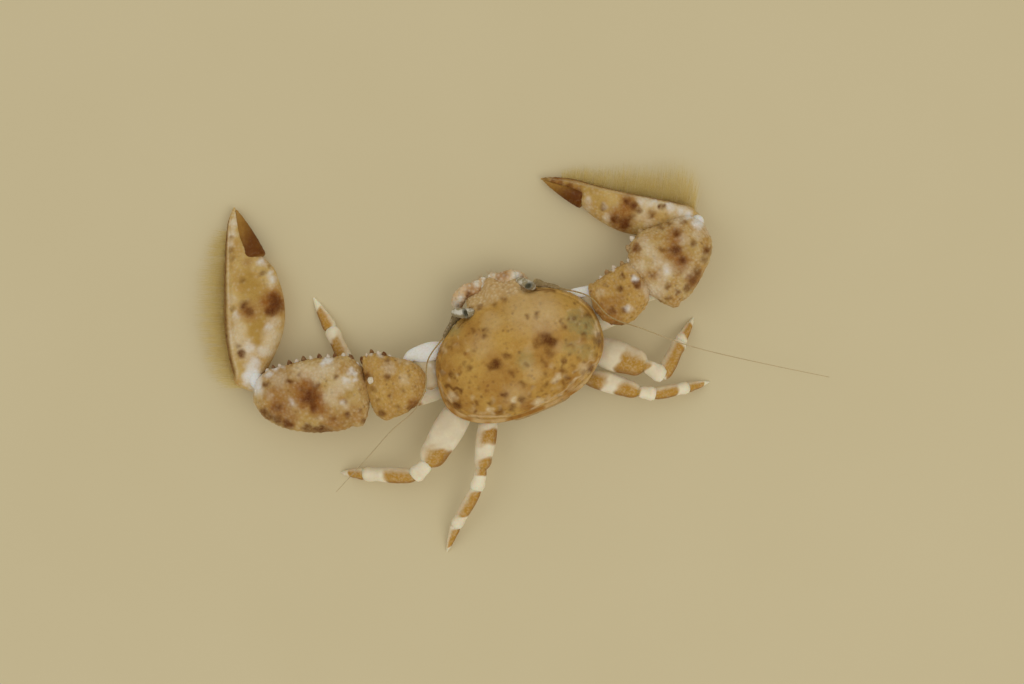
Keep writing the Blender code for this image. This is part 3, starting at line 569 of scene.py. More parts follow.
class Finishes:
    """The materials, each made the first time that a piece asks for it."""

    def __init__(self, colours):
        self.colours = colours
        self.made = {}

    def get(self, name):
        """A material by its name."""
        if name not in self.made:
            self.made[name] = getattr(self, name)()
        return self.made[name]

    def back_shell(self):
        """Olive-tan shell with olive, rust, pale and dark marks."""
        c = self.colours
        return shell_finish(
            "back shell", tuple(c.back_ground), tuple(c.back_shade),
            (("zone", (0.36, 0.29, 0.11), 0.9, 4.0), ("rust", (0.33, 0.13, 0.018), 0.6, 2.0),
             ("pale", (0.74, 0.58, 0.34), 0.5, 3.5), ("dark", (0.125, 0.036, 0.003), 0.5, 3.5)),
            coat=0.02, soft=0.12, cloud=0.7, specks=0.5, speck_scale=3.0, flecks=0.28, granules=0.3,
            lines=0.06, bump=0.35, fleck_colour=(0.66, 0.45, 0.18))

    def upper_arm(self):
        """The golden shell of the claw limbs' upper arms."""
        return self.claw_finish("upper arm", (0.58, 0.35, 0.088), (0.49, 0.27, 0.06), flecks=0.35)

    def wrist(self):
        """The greyer shell of the wrist segments."""
        c = self.colours
        return self.claw_finish("wrist segment", tuple(c.claw_ground), tuple(c.claw_shade), specks=0.4)

    def hand(self):
        """The pale gold shell of the hands."""
        return self.claw_finish("hand", (0.63, 0.43, 0.14), (0.55, 0.33, 0.09), flecks=0.35, specks=0.2)

    def claw_finish(self, name, ground, shade, flecks=0.5, specks=0.5):
        """The granular shell of a claw limb."""
        return shell_finish(
            name, ground, shade,
            (("zone", (0.45, 0.26, 0.045), 0.4, 2.5), ("rust", (0.3, 0.1, 0.011), 0.5, 2.5),
             ("pale", (0.8, 0.69, 0.5), 0.25, 3.0), ("white", (0.84, 0.83, 0.79), 0.15, 3.0),
             ("dark", (0.12, 0.03, 0.003), 0.5, 3.5)),
            coat=0.02, soft=0.15, cloud=1.1, specks=specks, speck_scale=3.4, flecks=flecks, granules=0.6,
            lines=0.05, bump=0.45, fleck_colour=(0.66, 0.53, 0.32))

    def finger(self):
        """The dark red-brown shell of the moving fingers."""
        return shell_finish(
            "finger", (0.14, 0.04, 0.003), (0.17, 0.055, 0.004),
            (("rust", (0.38, 0.19, 0.03), 0.4, 2.5), ("pale", (0.68, 0.55, 0.36), 0.2, 3.0),
             ("zone", (0.44, 0.26, 0.07), 0.3, 3.0)),
            coat=0.1, soft=0.1, specks=0.2, flecks=0.1, granules=0.3, bump=0.25)

    def leg_shell(self):
        """Milky shell with golden-brown bands."""
        c = self.colours
        return shell_finish(
            "leg shell", tuple(c.leg_ground), (0.78, 0.68, 0.47),
            (("zone", (0.56, 0.44, 0.24), 0.4, 3.0), ("rust", tuple(c.leg_band), 0.25, 2.5),
             ("dark", (0.22, 0.085, 0.03), 0.4, 3.0)),
            coat=0.03, soft=0.5, specks=0.03, flecks=0.15, granules=0.1, bump=0.12,
            fleck_colour=(0.86, 0.8, 0.66))

    def joint_skin(self):
        """Pale skin at the claw limbs' roots and wrists."""
        return shell_finish(
            "joint skin", (0.68, 0.58, 0.38), (0.6, 0.48, 0.29),
            (("rust", (0.4, 0.22, 0.06), 0.5, 3.0), ("dark", (0.2, 0.09, 0.03), 0.5, 3.0),
             ("pale", (0.86, 0.85, 0.8), 0.15, 3.0)),
            coat=0.03, soft=0.4, specks=0.1, flecks=0.3, granules=0.1, lines=0.1, bump=0.2,
            fleck_colour=(0.76, 0.7, 0.56))

    def under_shell(self):
        """The plain shell of the underside and mouth plates."""
        return shell_finish(
            "under shell", (0.52, 0.37, 0.17), (0.42, 0.26, 0.1),
            (("zone", (0.5, 0.33, 0.15), 0.5, 3.0), ("pale", (0.72, 0.64, 0.48), 0.4, 3.0),
             ("rust", (0.34, 0.165, 0.045), 0.6, 3.0), ("dark", (0.13, 0.05, 0.015), 0.5, 3.0)),
            coat=0.04, soft=0.25, specks=0.5, flecks=0.4, granules=0.5, bump=0.35)

    def mouth_shell(self):
        """The knobbly orange-tan shell of the mouth limbs' ends."""
        return shell_finish(
            "mouth shell", (0.76, 0.54, 0.3), (0.66, 0.44, 0.2),
            (("rust", (0.42, 0.2, 0.05), 0.4, 3.0), ("pale", (0.8, 0.76, 0.64), 0.3, 3.0),
             ("dark", (0.15, 0.06, 0.02), 0.4, 3.0)),
            coat=0.04, soft=0.2, specks=0.3, flecks=0.4, granules=0.4, bump=0.3)

    def feeler(self):
        """The olive-brown shell of the feelers."""
        return shell_finish(
            "feeler", (0.46, 0.34, 0.15), (0.36, 0.25, 0.1),
            (("rust", (0.34, 0.2, 0.075), 0.5, 3.0), ("dark", (0.15, 0.11, 0.05), 0.3, 3.5),
             ("pale", (0.72, 0.58, 0.4), 0.4, 3.5)),
            coat=0.0, soft=0.2, specks=0.4, flecks=0.4, granules=0.3, bump=0.3)

    def bristle(self):
        """Half see-through golden bristles."""
        made, tree, shader, place = new_material("bristle", 0.5)
        shade = tree.noise(place, 1.4, 3.0)
        colour = tree.mix(tree.step(shade, 0.35, 0.65), (1.0, 0.82, 0.32), (0.96, 0.75, 0.25))
        tree.put(shader.inputs["Base Color"], colour)
        tree.put(shader.inputs["Roughness"], tree.step(shade, 0.2, 0.8, 0.4, 0.6))
        tree.put(shader.inputs["Alpha"], 0.55)
        return made

    def eye(self):
        """A dark faceted eye that fades into its pale stalk."""
        made, tree, shader, place = new_material("eye", 0.12, 0.2)
        facets = tree.cells(place, 22.0, 0.2)
        rim = tree.step(facets, 0.25, 0.6)
        colour = tree.mix(rim, (0.03, 0.027, 0.011), (0.07, 0.06, 0.026))
        stalk = tree.mix(tree.step(tree.noise(place, 3.0), 0.42, 0.58), (0.66, 0.62, 0.5),
        (0.33, 0.27, 0.15))
        skin = mask_value(tree, "pale")
        tree.put(shader.inputs["Base Color"], tree.mix(skin, colour, stalk))
        tree.put(shader.inputs["Roughness"], tree.step(skin, 0.0, 1.0, 0.15, 0.55))
        raised = tree.node("ShaderNodeBump", {"Strength": 0.25, "Distance": 0.01 * MM,
                                              "Height": tree.maths("SUBTRACT", 1.0, facets)})
        tree.put(shader.inputs["Normal"], raised.outputs["Normal"])
        return made

    def ground(self):
        """The pale floor, with a faint glow in place of light from below."""
        made, tree, shader, place = new_material("ground", 0.8)
        cloud = tree.noise(place, 0.07, 3.0)
        colour = tree.mix(tree.step(cloud, 0.3, 0.7), tuple(self.colours.ground), (0.62, 0.53, 0.32))
        tree.put(shader.inputs["Base Color"], colour)
        tree.put(shader.inputs["Emission Color"], colour)
        shader.inputs["Emission Strength"].default_value = GROUND_GLOW
        return made


# Marks of the back shell as (photo x, photo y, radius, strength), in pixels; lines have two ends
BACK_DARK = (
    (546.5, 340, 6.5, 0.95), (553, 343, 4, 0.7), (537, 344, 4, 0.55), (549, 352, 4, 0.5),
    (496.5, 364, 5, 0.95), (490, 367, 3.5, 0.65), (504.3, 394, 3.2, 0.9), (457, 405, 4.8, 0.9),
    (563, 361, 2.6, 0.75), (562, 370, 3, 0.7), (451.6, 374.4, 3.4, 0.75), (590.5, 368, 3.6, 0.75),
    (597, 341, 3.6, 0.7), (536.5, 314.7, 2.6, 0.7), (526.6, 316, 2.4, 0.65), (485, 330, 2.6, 0.7),
    (484.5, 336.5, 2.6, 0.75), (479.6, 307, 2.4, 0.7), (494.4, 305, 2.4, 0.7), (504.6, 300, 2.4, 0.7),
    (522.4, 382.8, 2.4, 0.75), (521.7, 399, 3, 0.75), (478, 403, 2.6, 0.7), (490, 403, 2.6, 0.7),
    (546.3, 384, 2.4, 0.7), (526.6, 365, 2.2, 0.65), (469.8, 368, 2.6, 0.7), (507, 356, 2.8, 0.65),
    (573, 318, 2.8, 0.7), (588.4, 316, 2.6, 0.7), (583.5, 333.7, 2.6, 0.7), (563, 327, 2.4, 0.65),
    (512, 373, 3, 0.55), (543, 362, 3, 0.5), (500, 410, 3.4, 0.7), (512, 407, 3.4, 0.7),
    (567, 378, 3, 0.65), (574, 396, 2.6, 0.65), (571, 345, 2.2, 0.5), (545, 374, 2.2, 0.55),
    (475, 350, 2.2, 0.5), (586, 325, 2.2, 0.55),
)
BACK_DARK_LINES = (
    (448, 385.6, 462, 390.5, 1.8, 0.85), (447, 402, 460, 406, 2.6, 0.5),
    (458.4, 327.8, 464.5, 322, 1.2, 0.7), (535, 289.6, 555, 291, 1.2, 0.7),
    (598, 334, 601, 350, 2.4, 0.5), (563, 357, 561.7, 372, 1.6, 0.45), (592, 366, 582, 374, 1.3, 0.5),
    (436, 354, 441, 372, 2.0, 0.45),
)
BACK_RUST = (
    (527, 406, 7, 0.75), (535, 405, 6, 0.5), (546, 343, 14, 0.55), (497, 364, 13, 0.5),
    (543, 361, 11, 0.4), (503, 398, 10, 0.5), (474, 408, 9, 0.45), (513, 378, 11, 0.4),
    (450, 388, 10, 0.45), (444, 368, 9, 0.5), (470, 330, 9, 0.4), (573, 386, 8, 0.5),
    (458, 345, 9, 0.4), (540, 328, 9, 0.35), (456, 402, 11, 0.5), (491, 384, 10, 0.35),
    (525, 390, 8, 0.45), (560, 375, 8, 0.45), (438, 350, 6, 0.6), (571.5, 376.5, 5, 0.5),
)
BACK_PALE = (
    (489.5, 409.4, 3, 0.9), (513.3, 399, 3.2, 0.95), (536.5, 402, 3.4, 0.9), (541, 401.4, 3.4, 0.85),
    (554, 380, 3, 0.8), (558, 376, 3, 0.8), (452, 396, 4.5, 0.7), (595.4, 333, 3.2, 0.85),
    (595.4, 366, 1.8, 0.9), (584, 368, 5.5, 0.6), (566, 291, 3.2, 0.6), (572, 388, 3, 0.4),
    (463, 313.6, 2.4, 0.4), (548, 397, 2.5, 0.5), (445, 350, 3, 0.4), (551, 366, 2, 0.4),
    (581, 300, 2.5, 0.5), (493, 413, 2, 0.6), (590, 357, 2.6, 0.4), (523, 290, 2.6, 0.7),
)
BACK_LIGHT = (
    (531, 310, 24, 0.5), (548, 318, 16, 0.4), (527, 364, 6, 0.3), (528, 349, 5, 0.3),
    (578, 345, 5, 0.3), (558, 347, 6, 0.3), (492, 322, 10, 0.4), (515, 395, 12, 0.35),
    (533, 374, 8, 0.35), (482, 345, 12, 0.35),
)
BACK_PALE_LINES = (
    (599, 360, 575, 379, 1.0, 0.6), (575, 379, 560, 394, 1.0, 0.6), (560, 394, 532, 409, 1.0, 0.6),
    (593, 359, 572, 372, 0.9, 0.5), (470, 416, 510, 416, 1.1, 0.6), (582, 299, 590, 307, 0.9, 0.5),
    (596, 322, 598, 335, 1.2, 0.6), (438, 378, 446, 402, 0.9, 0.5),
)
BACK_ZONE = (
    (577, 322, 12, 0.75), (588, 330, 9, 0.75), (525, 360, 9, 0.5), (453, 327, 8, 0.7),
    (572, 346, 9, 0.5), (586, 352, 8, 0.5), (590, 322, 7, 0.6), (598, 342, 4, 0.7),
)


def rim_flecks(seed, count, radius, strength):
    """Small flecks near the shell's rim, as marks in photo pixels, most at the rear and right."""
    draw = np.random.default_rng(seed)
    turn = draw.uniform(-0.35, 1.15, count) * math.pi
    x, y = rim_shape(turn)
    share = 1 - 0.4 * draw.uniform(0, 1, count) ** 1.4
    to_right, to_front = -x * share / PIXEL, -y * share / PIXEL
    px = PHOTO_MIDDLE[0] + to_right * math.cos(PHOTO_TURN) - to_front * math.sin(PHOTO_TURN)
    py = PHOTO_MIDDLE[1] - to_right * math.sin(PHOTO_TURN) - to_front * math.cos(PHOTO_TURN)
    sizes = radius * draw.uniform(0.6, 1.4, count)
    return list(zip(px, py, sizes, strength * draw.uniform(0.4, 1.0, count)))


def front_bend(x, y, share):
    """How far the front is pushed forward and down at a place, in millimetres."""
    amount = (1 - smooth(0.68, 1.0, np.abs(x) / 1.8)) * smooth(0.74, 1.0, share) * (y < 0)
    lobes = 0.92 + 0.08 * np.cos(2 * math.pi * x / 1.15)
    return amount * (lobes * 0.78 + 0.34 * np.exp(-((x + 0.15) / 0.7) ** 2)), amount * 0.42


def raise_granules(points, seed, count, size, height, where):
    """Raise separate rounded granules over a grid where a share from 0 to 1 allows them."""
    normals = grid_normals(points)
    flat = points.reshape(-1, 3)
    draw = np.random.default_rng(seed)
    chance = np.maximum(where.ravel(), 0.0)
    lift = np.zeros(len(flat))
    kept = []
    for number in draw.choice(len(flat), size=3 * count, p=chance / chance.sum()):
        grown = size * draw.uniform(0.75, 1.25)
        tall = height * draw.uniform(0.6, 1.0)
        if kept and np.linalg.norm(np.array(kept) - flat[number], axis=1).min() < 2.1 * grown:
            continue
        kept.append(flat[number])
        near = np.flatnonzero(np.abs(flat[:, 0] - flat[number, 0]) < 2 * grown)
        away = np.linalg.norm(flat[near] - flat[number], axis=1) / grown
        lift[near] = np.maximum(lift[near], tall * np.exp(-away**2))
        if len(kept) == count:
            break
    lift = lift.reshape(points.shape[:2])
    return points + normals * lift[..., None], lift / height


def rugae(points, way, gap, height, seed):
    """Short wavy ridges across a surface; way grows along it, in millimetres."""
    phase = way / gap + 0.55 * waves(points, 1.3, seed)
    ridge = np.maximum(0.0, np.sin(2 * math.pi * phase)) ** 1.6
    broken = smooth(-0.35, 0.5, waves(points, 0.55, seed + 5))
    return height * ridge * broken


# Marks of the claw limbs as (photo x, photo y, radius, strength), in pixels
CLAW_DARK = {
    "left": (
        (274, 299, 5, 0.85), (274, 307, 7, 0.9), (269, 312, 4, 0.7), (243.5, 305, 3.8, 0.9),
        (249, 312, 4, 0.9), (229, 250, 3, 0.45), (230.5, 258, 3, 0.4), (230, 236.5, 1.5, 0.5),
        (267, 266, 1.6, 0.6), (232, 309, 2, 0.5), (241.5, 354, 3.4, 0.95), (238, 346, 2.6, 0.5),
        (262, 273, 3, 0.7), (242, 280, 2.4, 0.55), (267, 384, 2.8, 0.8), (291, 380.7, 3, 0.85),
        (337.5, 376.5, 2.2, 0.8), (250, 395, 2.6, 0.55), (348, 413.8, 2.6, 0.85), (335, 418, 2.2, 0.55),
        (361, 410, 2, 0.55), (364, 420.5, 2.8, 0.8), (264, 412, 4, 0.8), (271, 416, 4, 0.85),
        (279, 420, 4.5, 0.9), (289, 424, 4.5, 0.9), (308, 428, 4.5, 0.85), (316, 430, 4, 0.85),
        (323, 430, 5, 0.9), (330, 430, 3.5, 0.6), (279.5, 407, 4, 0.65), (311, 397, 7.5, 0.8),
        (317, 386, 4, 0.6), (304, 389, 3, 0.5), (315, 407, 4, 0.75), (368, 375.7, 3.6, 0.85),
        (388, 377.3, 2.6, 0.7), (390.6, 394.8, 2.6, 0.7), (374, 389, 2.4, 0.55), (382.3, 413, 3.4, 0.7),
        (404, 390, 2, 0.55), (399, 407, 2.2, 0.55), (389, 360, 2.4, 0.7), (412, 408, 4, 0.65),
        (418, 404, 3, 0.6), (300, 374, 2, 0.5), (346, 401, 2, 0.5), (410, 375, 2, 0.5),
        (379, 400, 2, 0.5),
    ),
    "right": (
        (627, 201, 3.4, 0.85), (633, 206, 3.6, 0.95), (639, 211, 2.8, 0.7), (615, 219, 4, 0.85),
        (624, 223, 6, 0.95), (631, 218, 4, 0.7), (577, 193, 5, 0.75), (569, 187, 4, 0.65),
        (561, 183, 3.2, 0.6), (552, 180, 3, 0.6), (545, 178, 2.4, 0.6), (603, 207.4, 2.6, 0.65),
        (660, 205.6, 2, 0.95), (664.5, 206.8, 2, 0.95), (652, 215, 2.6, 0.65),
        (668.8, 224.6, 2.6, 0.65), (660, 227.8, 2.6, 0.7), (635.7, 236, 2.6, 0.55),
        (635, 249.5, 3.6, 0.85), (676.5, 234, 3.6, 0.85), (675, 251, 4.4, 0.95), (661, 250.8, 2.4, 0.7),
        (668, 251, 3, 0.6), (681.6, 261, 4, 0.85), (692.4, 244.4, 3.2, 0.8), (706.5, 250.8, 4.4, 0.85),
        (703, 260, 3.4, 0.6), (697, 273, 4.5, 0.75), (692, 281, 5, 0.75), (686, 289, 4, 0.7),
        (667, 286, 2.6, 0.7), (658, 303, 3, 0.75), (667.6, 299, 2.2, 0.7), (677, 292, 2.6, 0.7),
        (621.6, 276.3, 2.8, 0.8), (619, 288.4, 3, 0.8), (635.7, 285.2, 3.6, 0.85),
        (622, 310.7, 3.2, 0.75), (612, 311, 3, 0.7), (613, 326, 4, 0.7), (621, 326, 3.6, 0.7),
        (605, 285, 1.8, 0.5), (652, 275, 2, 0.5), (684, 222, 2.2, 0.55),
    ),
}
CLAW_RUST = {
    "left": (
        (313, 397, 12, 0.9), (306, 386, 9, 0.8), (320, 407, 9, 0.8), (280, 407, 10, 0.75),
        (284, 384, 14, 0.45), (300, 400, 10, 0.5), (350, 415, 12, 0.3), (272, 303, 13, 0.9),
        (249, 311, 10, 0.7), (335, 423, 9, 0.5), (290, 418, 9, 0.6), (366, 375, 6, 0.5),
        (246, 262, 5, 0.4), (414, 405, 7, 0.6), (268, 393, 6, 0.4),
    ),
    "right": (
        (674, 252, 10, 0.75), (681, 262, 8, 0.7), (674, 236, 8, 0.6), (676, 270, 7, 0.5),
        (629, 204, 9, 0.8), (572, 190, 9, 0.8), (556, 181, 7, 0.8), (622, 220, 12, 0.8),
        (613, 212, 7, 0.4), (652, 214, 6, 0.35), (693, 281, 9, 0.6), (652, 275, 6, 0.3),
        (605, 310, 12, 0.55), (613, 323, 8, 0.5), (618, 300, 7, 0.3), (635.7, 285, 6, 0.5),
        (635, 249, 6, 0.5),
    ),
}
CLAW_PALE = {
    "left": (
        (229, 243, 4, 0.6), (230, 232, 4.5, 0.7), (231.5, 222, 4, 0.7), (233, 214, 3, 0.5),
        (253, 378, 10, 0.8), (248, 352, 9, 0.5), (238, 330, 8, 0.45), (243, 344, 8, 0.45),
        (271, 336, 9, 0.5), (274, 322, 6, 0.45), (268, 350, 7, 0.5), (270, 283, 4, 0.4),
        (268, 275, 3, 0.4), (280, 379, 7, 0.4), (302, 371, 8, 0.35), (317, 374, 9, 0.4),
        (330, 368, 8, 0.4), (341, 385, 8, 0.4), (331, 396, 8, 0.4), (350, 382, 6, 0.35),
        (260, 392, 5, 0.5), (296, 404, 2.6, 0.4), (346, 404, 4, 0.35), (400, 359, 3, 0.4),
        (390, 368, 6, 0.35), (405, 380, 5, 0.3), (408, 363, 2.4, 0.4), (271, 395, 3, 0.4),
        (322, 418, 3, 0.4), (236, 318, 4, 0.4), (232, 300, 5, 0.35), (231, 340, 7, 0.4),
    ),
    "right": (
        (588, 207, 4, 0.4), (645, 201, 7, 0.5), (657, 205, 6, 0.5), (672, 208, 7, 0.55),
        (684, 213, 7, 0.6), (698, 223, 7, 0.6), (709, 230, 5, 0.4), (645, 212, 5, 0.35),
        (640, 216, 5, 0.35), (640, 268, 7, 0.35), (649, 222, 5, 0.4), (646, 288, 7, 0.4),
        (651, 295, 7, 0.4), (657, 290, 7, 0.4), (628, 309.4, 3.4, 0.6), (667.6, 270, 6, 0.6),
        (682, 240, 5, 0.35), (643, 243, 6, 0.35), (648, 252, 6, 0.4), (657, 262, 7, 0.4),
        (662, 277, 6, 0.4), (686, 272, 6, 0.35), (697, 235, 5, 0.4), (677, 222, 5, 0.4),
        (600, 293, 4, 0.3), (607.6, 217.6, 3.4, 0.7), (630, 268, 4, 0.3),
    ),
}
CLAW_WHITE = {
    "left": (
        (252, 377, 8, 0.9), (258, 388, 5, 0.85), (255, 363, 5, 0.6), (249, 367, 4, 0.5),
        (269, 374, 3, 0.8), (262, 351, 5, 0.35), (250, 348, 4, 0.35), (276, 368, 3, 0.85),
        (283, 366, 2.4, 0.6), (328, 359, 3.8, 0.95), (324, 363, 2.8, 0.8), (352, 371, 3, 0.65),
        (347, 380, 3, 0.5), (260, 261, 3.6, 0.75), (271, 279, 3, 0.7), (269, 272, 2.4, 0.6),
        (371, 353, 2.2, 0.7), (381, 355, 2.2, 0.7), (355.8, 374, 1.8, 0.8), (355.8, 380, 1.8, 0.8),
        (235, 314, 3, 0.4), (268, 327, 3.4, 0.5), (293, 402, 2.4, 0.5), (343, 403, 2.2, 0.5),
    ),
    "right": (
        (690, 215, 4, 0.85), (698, 223, 5, 0.9), (681, 210.5, 3.4, 0.6), (633.7, 279.5, 2.8, 0.95),
        (672, 208, 3, 0.45), (641, 202, 3, 0.4), (650, 204, 3, 0.4), (589, 199, 3, 0.4),
        (625, 309, 2.6, 0.6), (605, 206, 2.4, 0.3), (666, 270, 3.4, 0.4), (648, 308, 2.4, 0.7),
        (613, 269, 1.8, 0.8), (668, 204.5, 2.4, 0.6), (655, 201.5, 2.4, 0.6),
    ),
}
CLAW_ZONE = {
    "left": (
        (252, 290, 12, 0.7), (245, 276, 9, 0.6), (350.8, 393, 5, 0.6), (345, 419, 9, 0.5),
        (257, 330, 9, 0.8), (256, 344, 6, 0.8), (262, 318, 7, 0.7), (310, 420, 8, 0.4),
    ),
    "right": (
        (617, 297, 12, 0.25), (570, 183, 8, 0.8), (585, 186, 8, 0.7), (598, 190, 7, 0.6),
        (668, 238, 10, 0.3), (649.7, 258.4, 6, 0.3), (686, 250, 8, 0.4), (600, 203, 7, 0.5),
    ),
}


def rim_shape(angle):
    """The carapace's rim seen from above, at angles round it, as x and y in millimetres."""
    s = np.sin(angle)
    bend = np.where(s < 0, FRONT_POWER, REAR_POWER)
    length = np.where(s < 0, CARAPACE_FRONT, CARAPACE_REAR)
    x = CARAPACE_WIDTH / 2 * power(np.cos(angle), 2 / bend)
    y = length * power(s, 2 / bend)
    return x, y


# Swellings of the back shell as (x, y, half width, half length, height)
SHELL_SWELLINGS = (
    (0.0, -1.35, 1.3, 0.9, 0.1),
    (2.7, 0.5, 1.2, 1.5, 0.12),
    (-2.7, 0.5, 1.2, 1.5, 0.12),
    (0.0, 1.4, 1.0, 0.8, 0.09),
)
# Curved grooves as (middle x, middle y, radius, first and last angle in degrees, depth)
SHELL_GROOVES = ((0.2, -1.1, 1.75, -40, 75, 0.05), (0.1, 1.3, 1.15, -75, 80, 0.035))
# The shell's side below the rim as (drop, share of the rim's reach, share of the rear flange)
SHELL_SIDE = (
    (0.1, 1.0, 0.0), (0.16, 0.985, 0.1), (0.21, 0.99, 0.4), (0.26, 1.0, 0.8), (0.33, 1.0, 1.0),
    (0.41, 0.99, 0.9), (0.45, 0.95, 0.4), (0.45, 0.75, 0.0), (0.45, 0.4, 0.0),
)
FLANGE_REACH = 0.062


def dome_relief(x, y):
    """Low swellings of the stomach, gill and heart regions, in millimetres."""
    total = np.zeros_like(x)
    for cx, cy, wide, long, high in SHELL_SWELLINGS:
        total += high * np.exp(-((x - cx) / wide) ** 2 - ((y - cy) / long) ** 2)
    return total


def groove(x, y, cx, cy, radius, low, high, deep, wide=0.11):
    """A shallow arc-shaped groove round a centre, between two angles."""
    away = np.hypot(x - cx, y - cy)
    angle = np.degrees(np.arctan2(y - cy, x - cx))
    inside = smooth(low, low + 15, angle) * (1 - smooth(high - 15, high, angle))
    return -deep * np.exp(-((away - radius) / wide) ** 2) * inside


def carapace_height(x, y, share):
    """Height of the back shell's top."""
    crown = (CARAPACE_TOP - RIM_HEIGHT) * (1.0 - share**2.6) ** 0.62
    forward = -0.25 * np.maximum(0.0, -y / CARAPACE_FRONT) ** 2
    return RIM_HEIGHT + crown + forward + dome_relief(x, y) * (1.0 - share**4)


def build_back_shell(finishes, fineness):
    """The domed back shield with its grooves, raised rim and bent-down front."""
    columns, rows = 460 * fineness, 140 * fineness
    angle = -2 * math.pi * np.arange(columns) / columns
    share = np.sin(np.linspace(0.02, 1.0, rows) * math.pi / 2) ** 0.85
    share, angle = np.meshgrid(np.minimum(share, 0.9995), angle, indexing="ij")
    rim_x, rim_y = rim_shape(angle)
    x, y = rim_x * share, rim_y * share
    z = carapace_height(x, y, share)
    for sign in (1, -1):
        for line in SHELL_GROOVES:
            z += groove(x * sign, y, *line)
    border = smooth(-2.9, -1.6, y)
    ridge = np.exp(-((share - 0.972) / 0.014) ** 2)
    dip = np.exp(-((share - 0.945) / 0.012) ** 2)
    z += (0.06 * ridge - 0.05 * dip) * border
    top = np.stack([x, y, z], -1)
    top[..., 2] += 0.016 * waves(top, 0.8, 3) * (1 - share**6)
    side = []
    rear = smooth(-0.8, 1.6, rim_y[-1])
    narrow = 1 - 0.9 * smooth(-2.0, -3.6, rim_x[-1])
    for drop, inset, flare in SHELL_SIDE:
        reach = inset + FLANGE_REACH * flare * rear * narrow
        level = np.full(columns, RIM_HEIGHT - drop)
        side.append(np.stack([rim_x[-1] * reach, rim_y[-1] * reach, level], -1))
    points = np.concatenate([top, np.array(side)])
    rim_share = np.concatenate([share, np.ones((len(side) - 3, columns)), np.full((3, columns), 0.8)])
    forward, down = front_bend(points[..., 0], points[..., 1], rim_share)
    points[..., 1] -= forward
    points[..., 2] -= down
    for side_name, _ in SIDES:
        eye = np.array(EYE_BALLS[side_name])
        away = np.linalg.norm((points - eye) * (0.75, 1.0, 1.0), axis=2)
        points[..., 2] -= 0.45 * (1 - smooth(0.2, 0.55, away))
    above = smooth(0.0, 0.35, grid_normals(points)[..., 2])
    beyond = np.arange(len(points))[:, None] >= rows
    front = smooth(-2.65, -3.15, points[..., 1]) * (np.abs(points[..., 0]) < 2.3) * above
    rough = (0.12 + smooth(0.8, 0.98, rim_share) * 0.7) * above * ~beyond * (1 - front)
    points, _ = raise_granules(points, 7, 600, 0.055, 0.022, rough)
    points, big = raise_granules(points, 8, 260, 0.08, 0.06, front * above * ~beyond)
    edge = beyond * smooth(0.2, 1.0, rear) * above
    dark = np.maximum(spots(points, BACK_DARK), streaks(points, BACK_DARK_LINES))
    dark = np.maximum(dark, spots(points, rim_flecks(21, 70, 1.5, 0.6)))
    light = np.maximum(spots(points, BACK_PALE), streaks(points, BACK_PALE_LINES))
    light = np.maximum(light, spots(points, rim_flecks(22, 60, 1.8, 0.5)))
    light = np.maximum(light, spots(points, BACK_LIGHT) * 0.6)
    patches = smooth(-0.3, 0.7, waves(points, 1.1, 17) + smooth(-1.0, 2.0, points[..., 0]))
    rust = np.maximum(spots(points, BACK_RUST), front * 0.25 * (1 - big))
    rust = np.maximum(rust, spots(points, rim_flecks(23, 40, 4.0, 0.45)))
    form = Form()
    add_loft(form, points, (0, 0, carapace_height(0.0, 0.0, 0.0)), (0, 0, CARAPACE_BASE),
             dark=dark * above * (1 - edge), rust=np.maximum(rust, edge * patches * 0.75),
             pale=np.clip(light + front * (0.3 + 0.65 * big), 0, 1) * above * (1 - edge)
             + edge * 0.4 * (1 - patches),
             zone=spots(points, BACK_ZONE) * above)
    return form.piece("back_shell", finishes.get("back_shell"), ["carapace"])


# Eyes, and the stalks that they sit on as (x, y, height, radius), in millimetres
EYE_BALLS = {"left": (1.74, -2.97, 2.78), "right": (-1.87, -3.0, 2.77)}
EYE_SIZES = {"left": (0.18, 0.28, 0.19), "right": (0.27, 0.2, 0.19)}
EYE_STALKS = {
    "left": (
        (1.16, -2.74, 2.4, 0.2), (1.42, -2.84, 2.58, 0.25), (1.74, -2.98, 2.66, 0.26),
        (2.04, -3.14, 2.6, 0.25), (2.26, -3.24, 2.42, 0.2),
    ),
    "right": (
        (-1.42, -3.5, 2.2, 0.14), (-1.54, -3.38, 2.4, 0.19), (-1.7, -3.2, 2.58, 0.22),
        (-1.87, -3.0, 2.64, 0.23), (-2.0, -2.85, 2.5, 0.18),
    ),
}


def build_eyes(finishes):
    """Short pale stalks, each with a dark many-faceted eye on its upper side."""
    for side, sign in SIDES:
        form = Form()
        stops = EYE_STALKS[side]
        t = np.linspace(0, 1, 44)
        radii = evenly([stop[3] for stop in stops], t)
        add_tube(form, smooth_path([stop[:3] for stop in stops], 44), radii, 34, rough=(5, 26, 0.06, 0.02),
                 pale=np.ones(44))
        size = EYE_SIZES[side]
        add_ball(form, EYE_BALLS[side], size, 30, 40)
        ball = (form.points[-1] - EYE_BALLS[side]) / size
        away = np.hypot(ball[:, 0] + 0.25 * sign, ball[:, 1])
        form.masks["pale"][-1] = (0.75 if side == "left" else 0.85) * smooth(0.35, 1.2, away)
        form.full("eye_" + side, finishes.get("eye"), "eye")


# Routes of the feelers on the left side, in millimetres
FEELER_BASE = ((2.15, -3.02, 1.95), (2.6, -2.76, 2.1), (3.2, -2.3, 2.3))
WHIP_ROOT = (3.25, -2.27, 2.32)
SHORT_FEELER = ((0.55, -2.95, 1.6), (0.5, -3.55, 1.8), (0.36, -4.0, 1.8), (0.2, -4.22, 1.65))
SHORT_FEELER_DOTS = ((484, 291, 1.8, 0.8),)


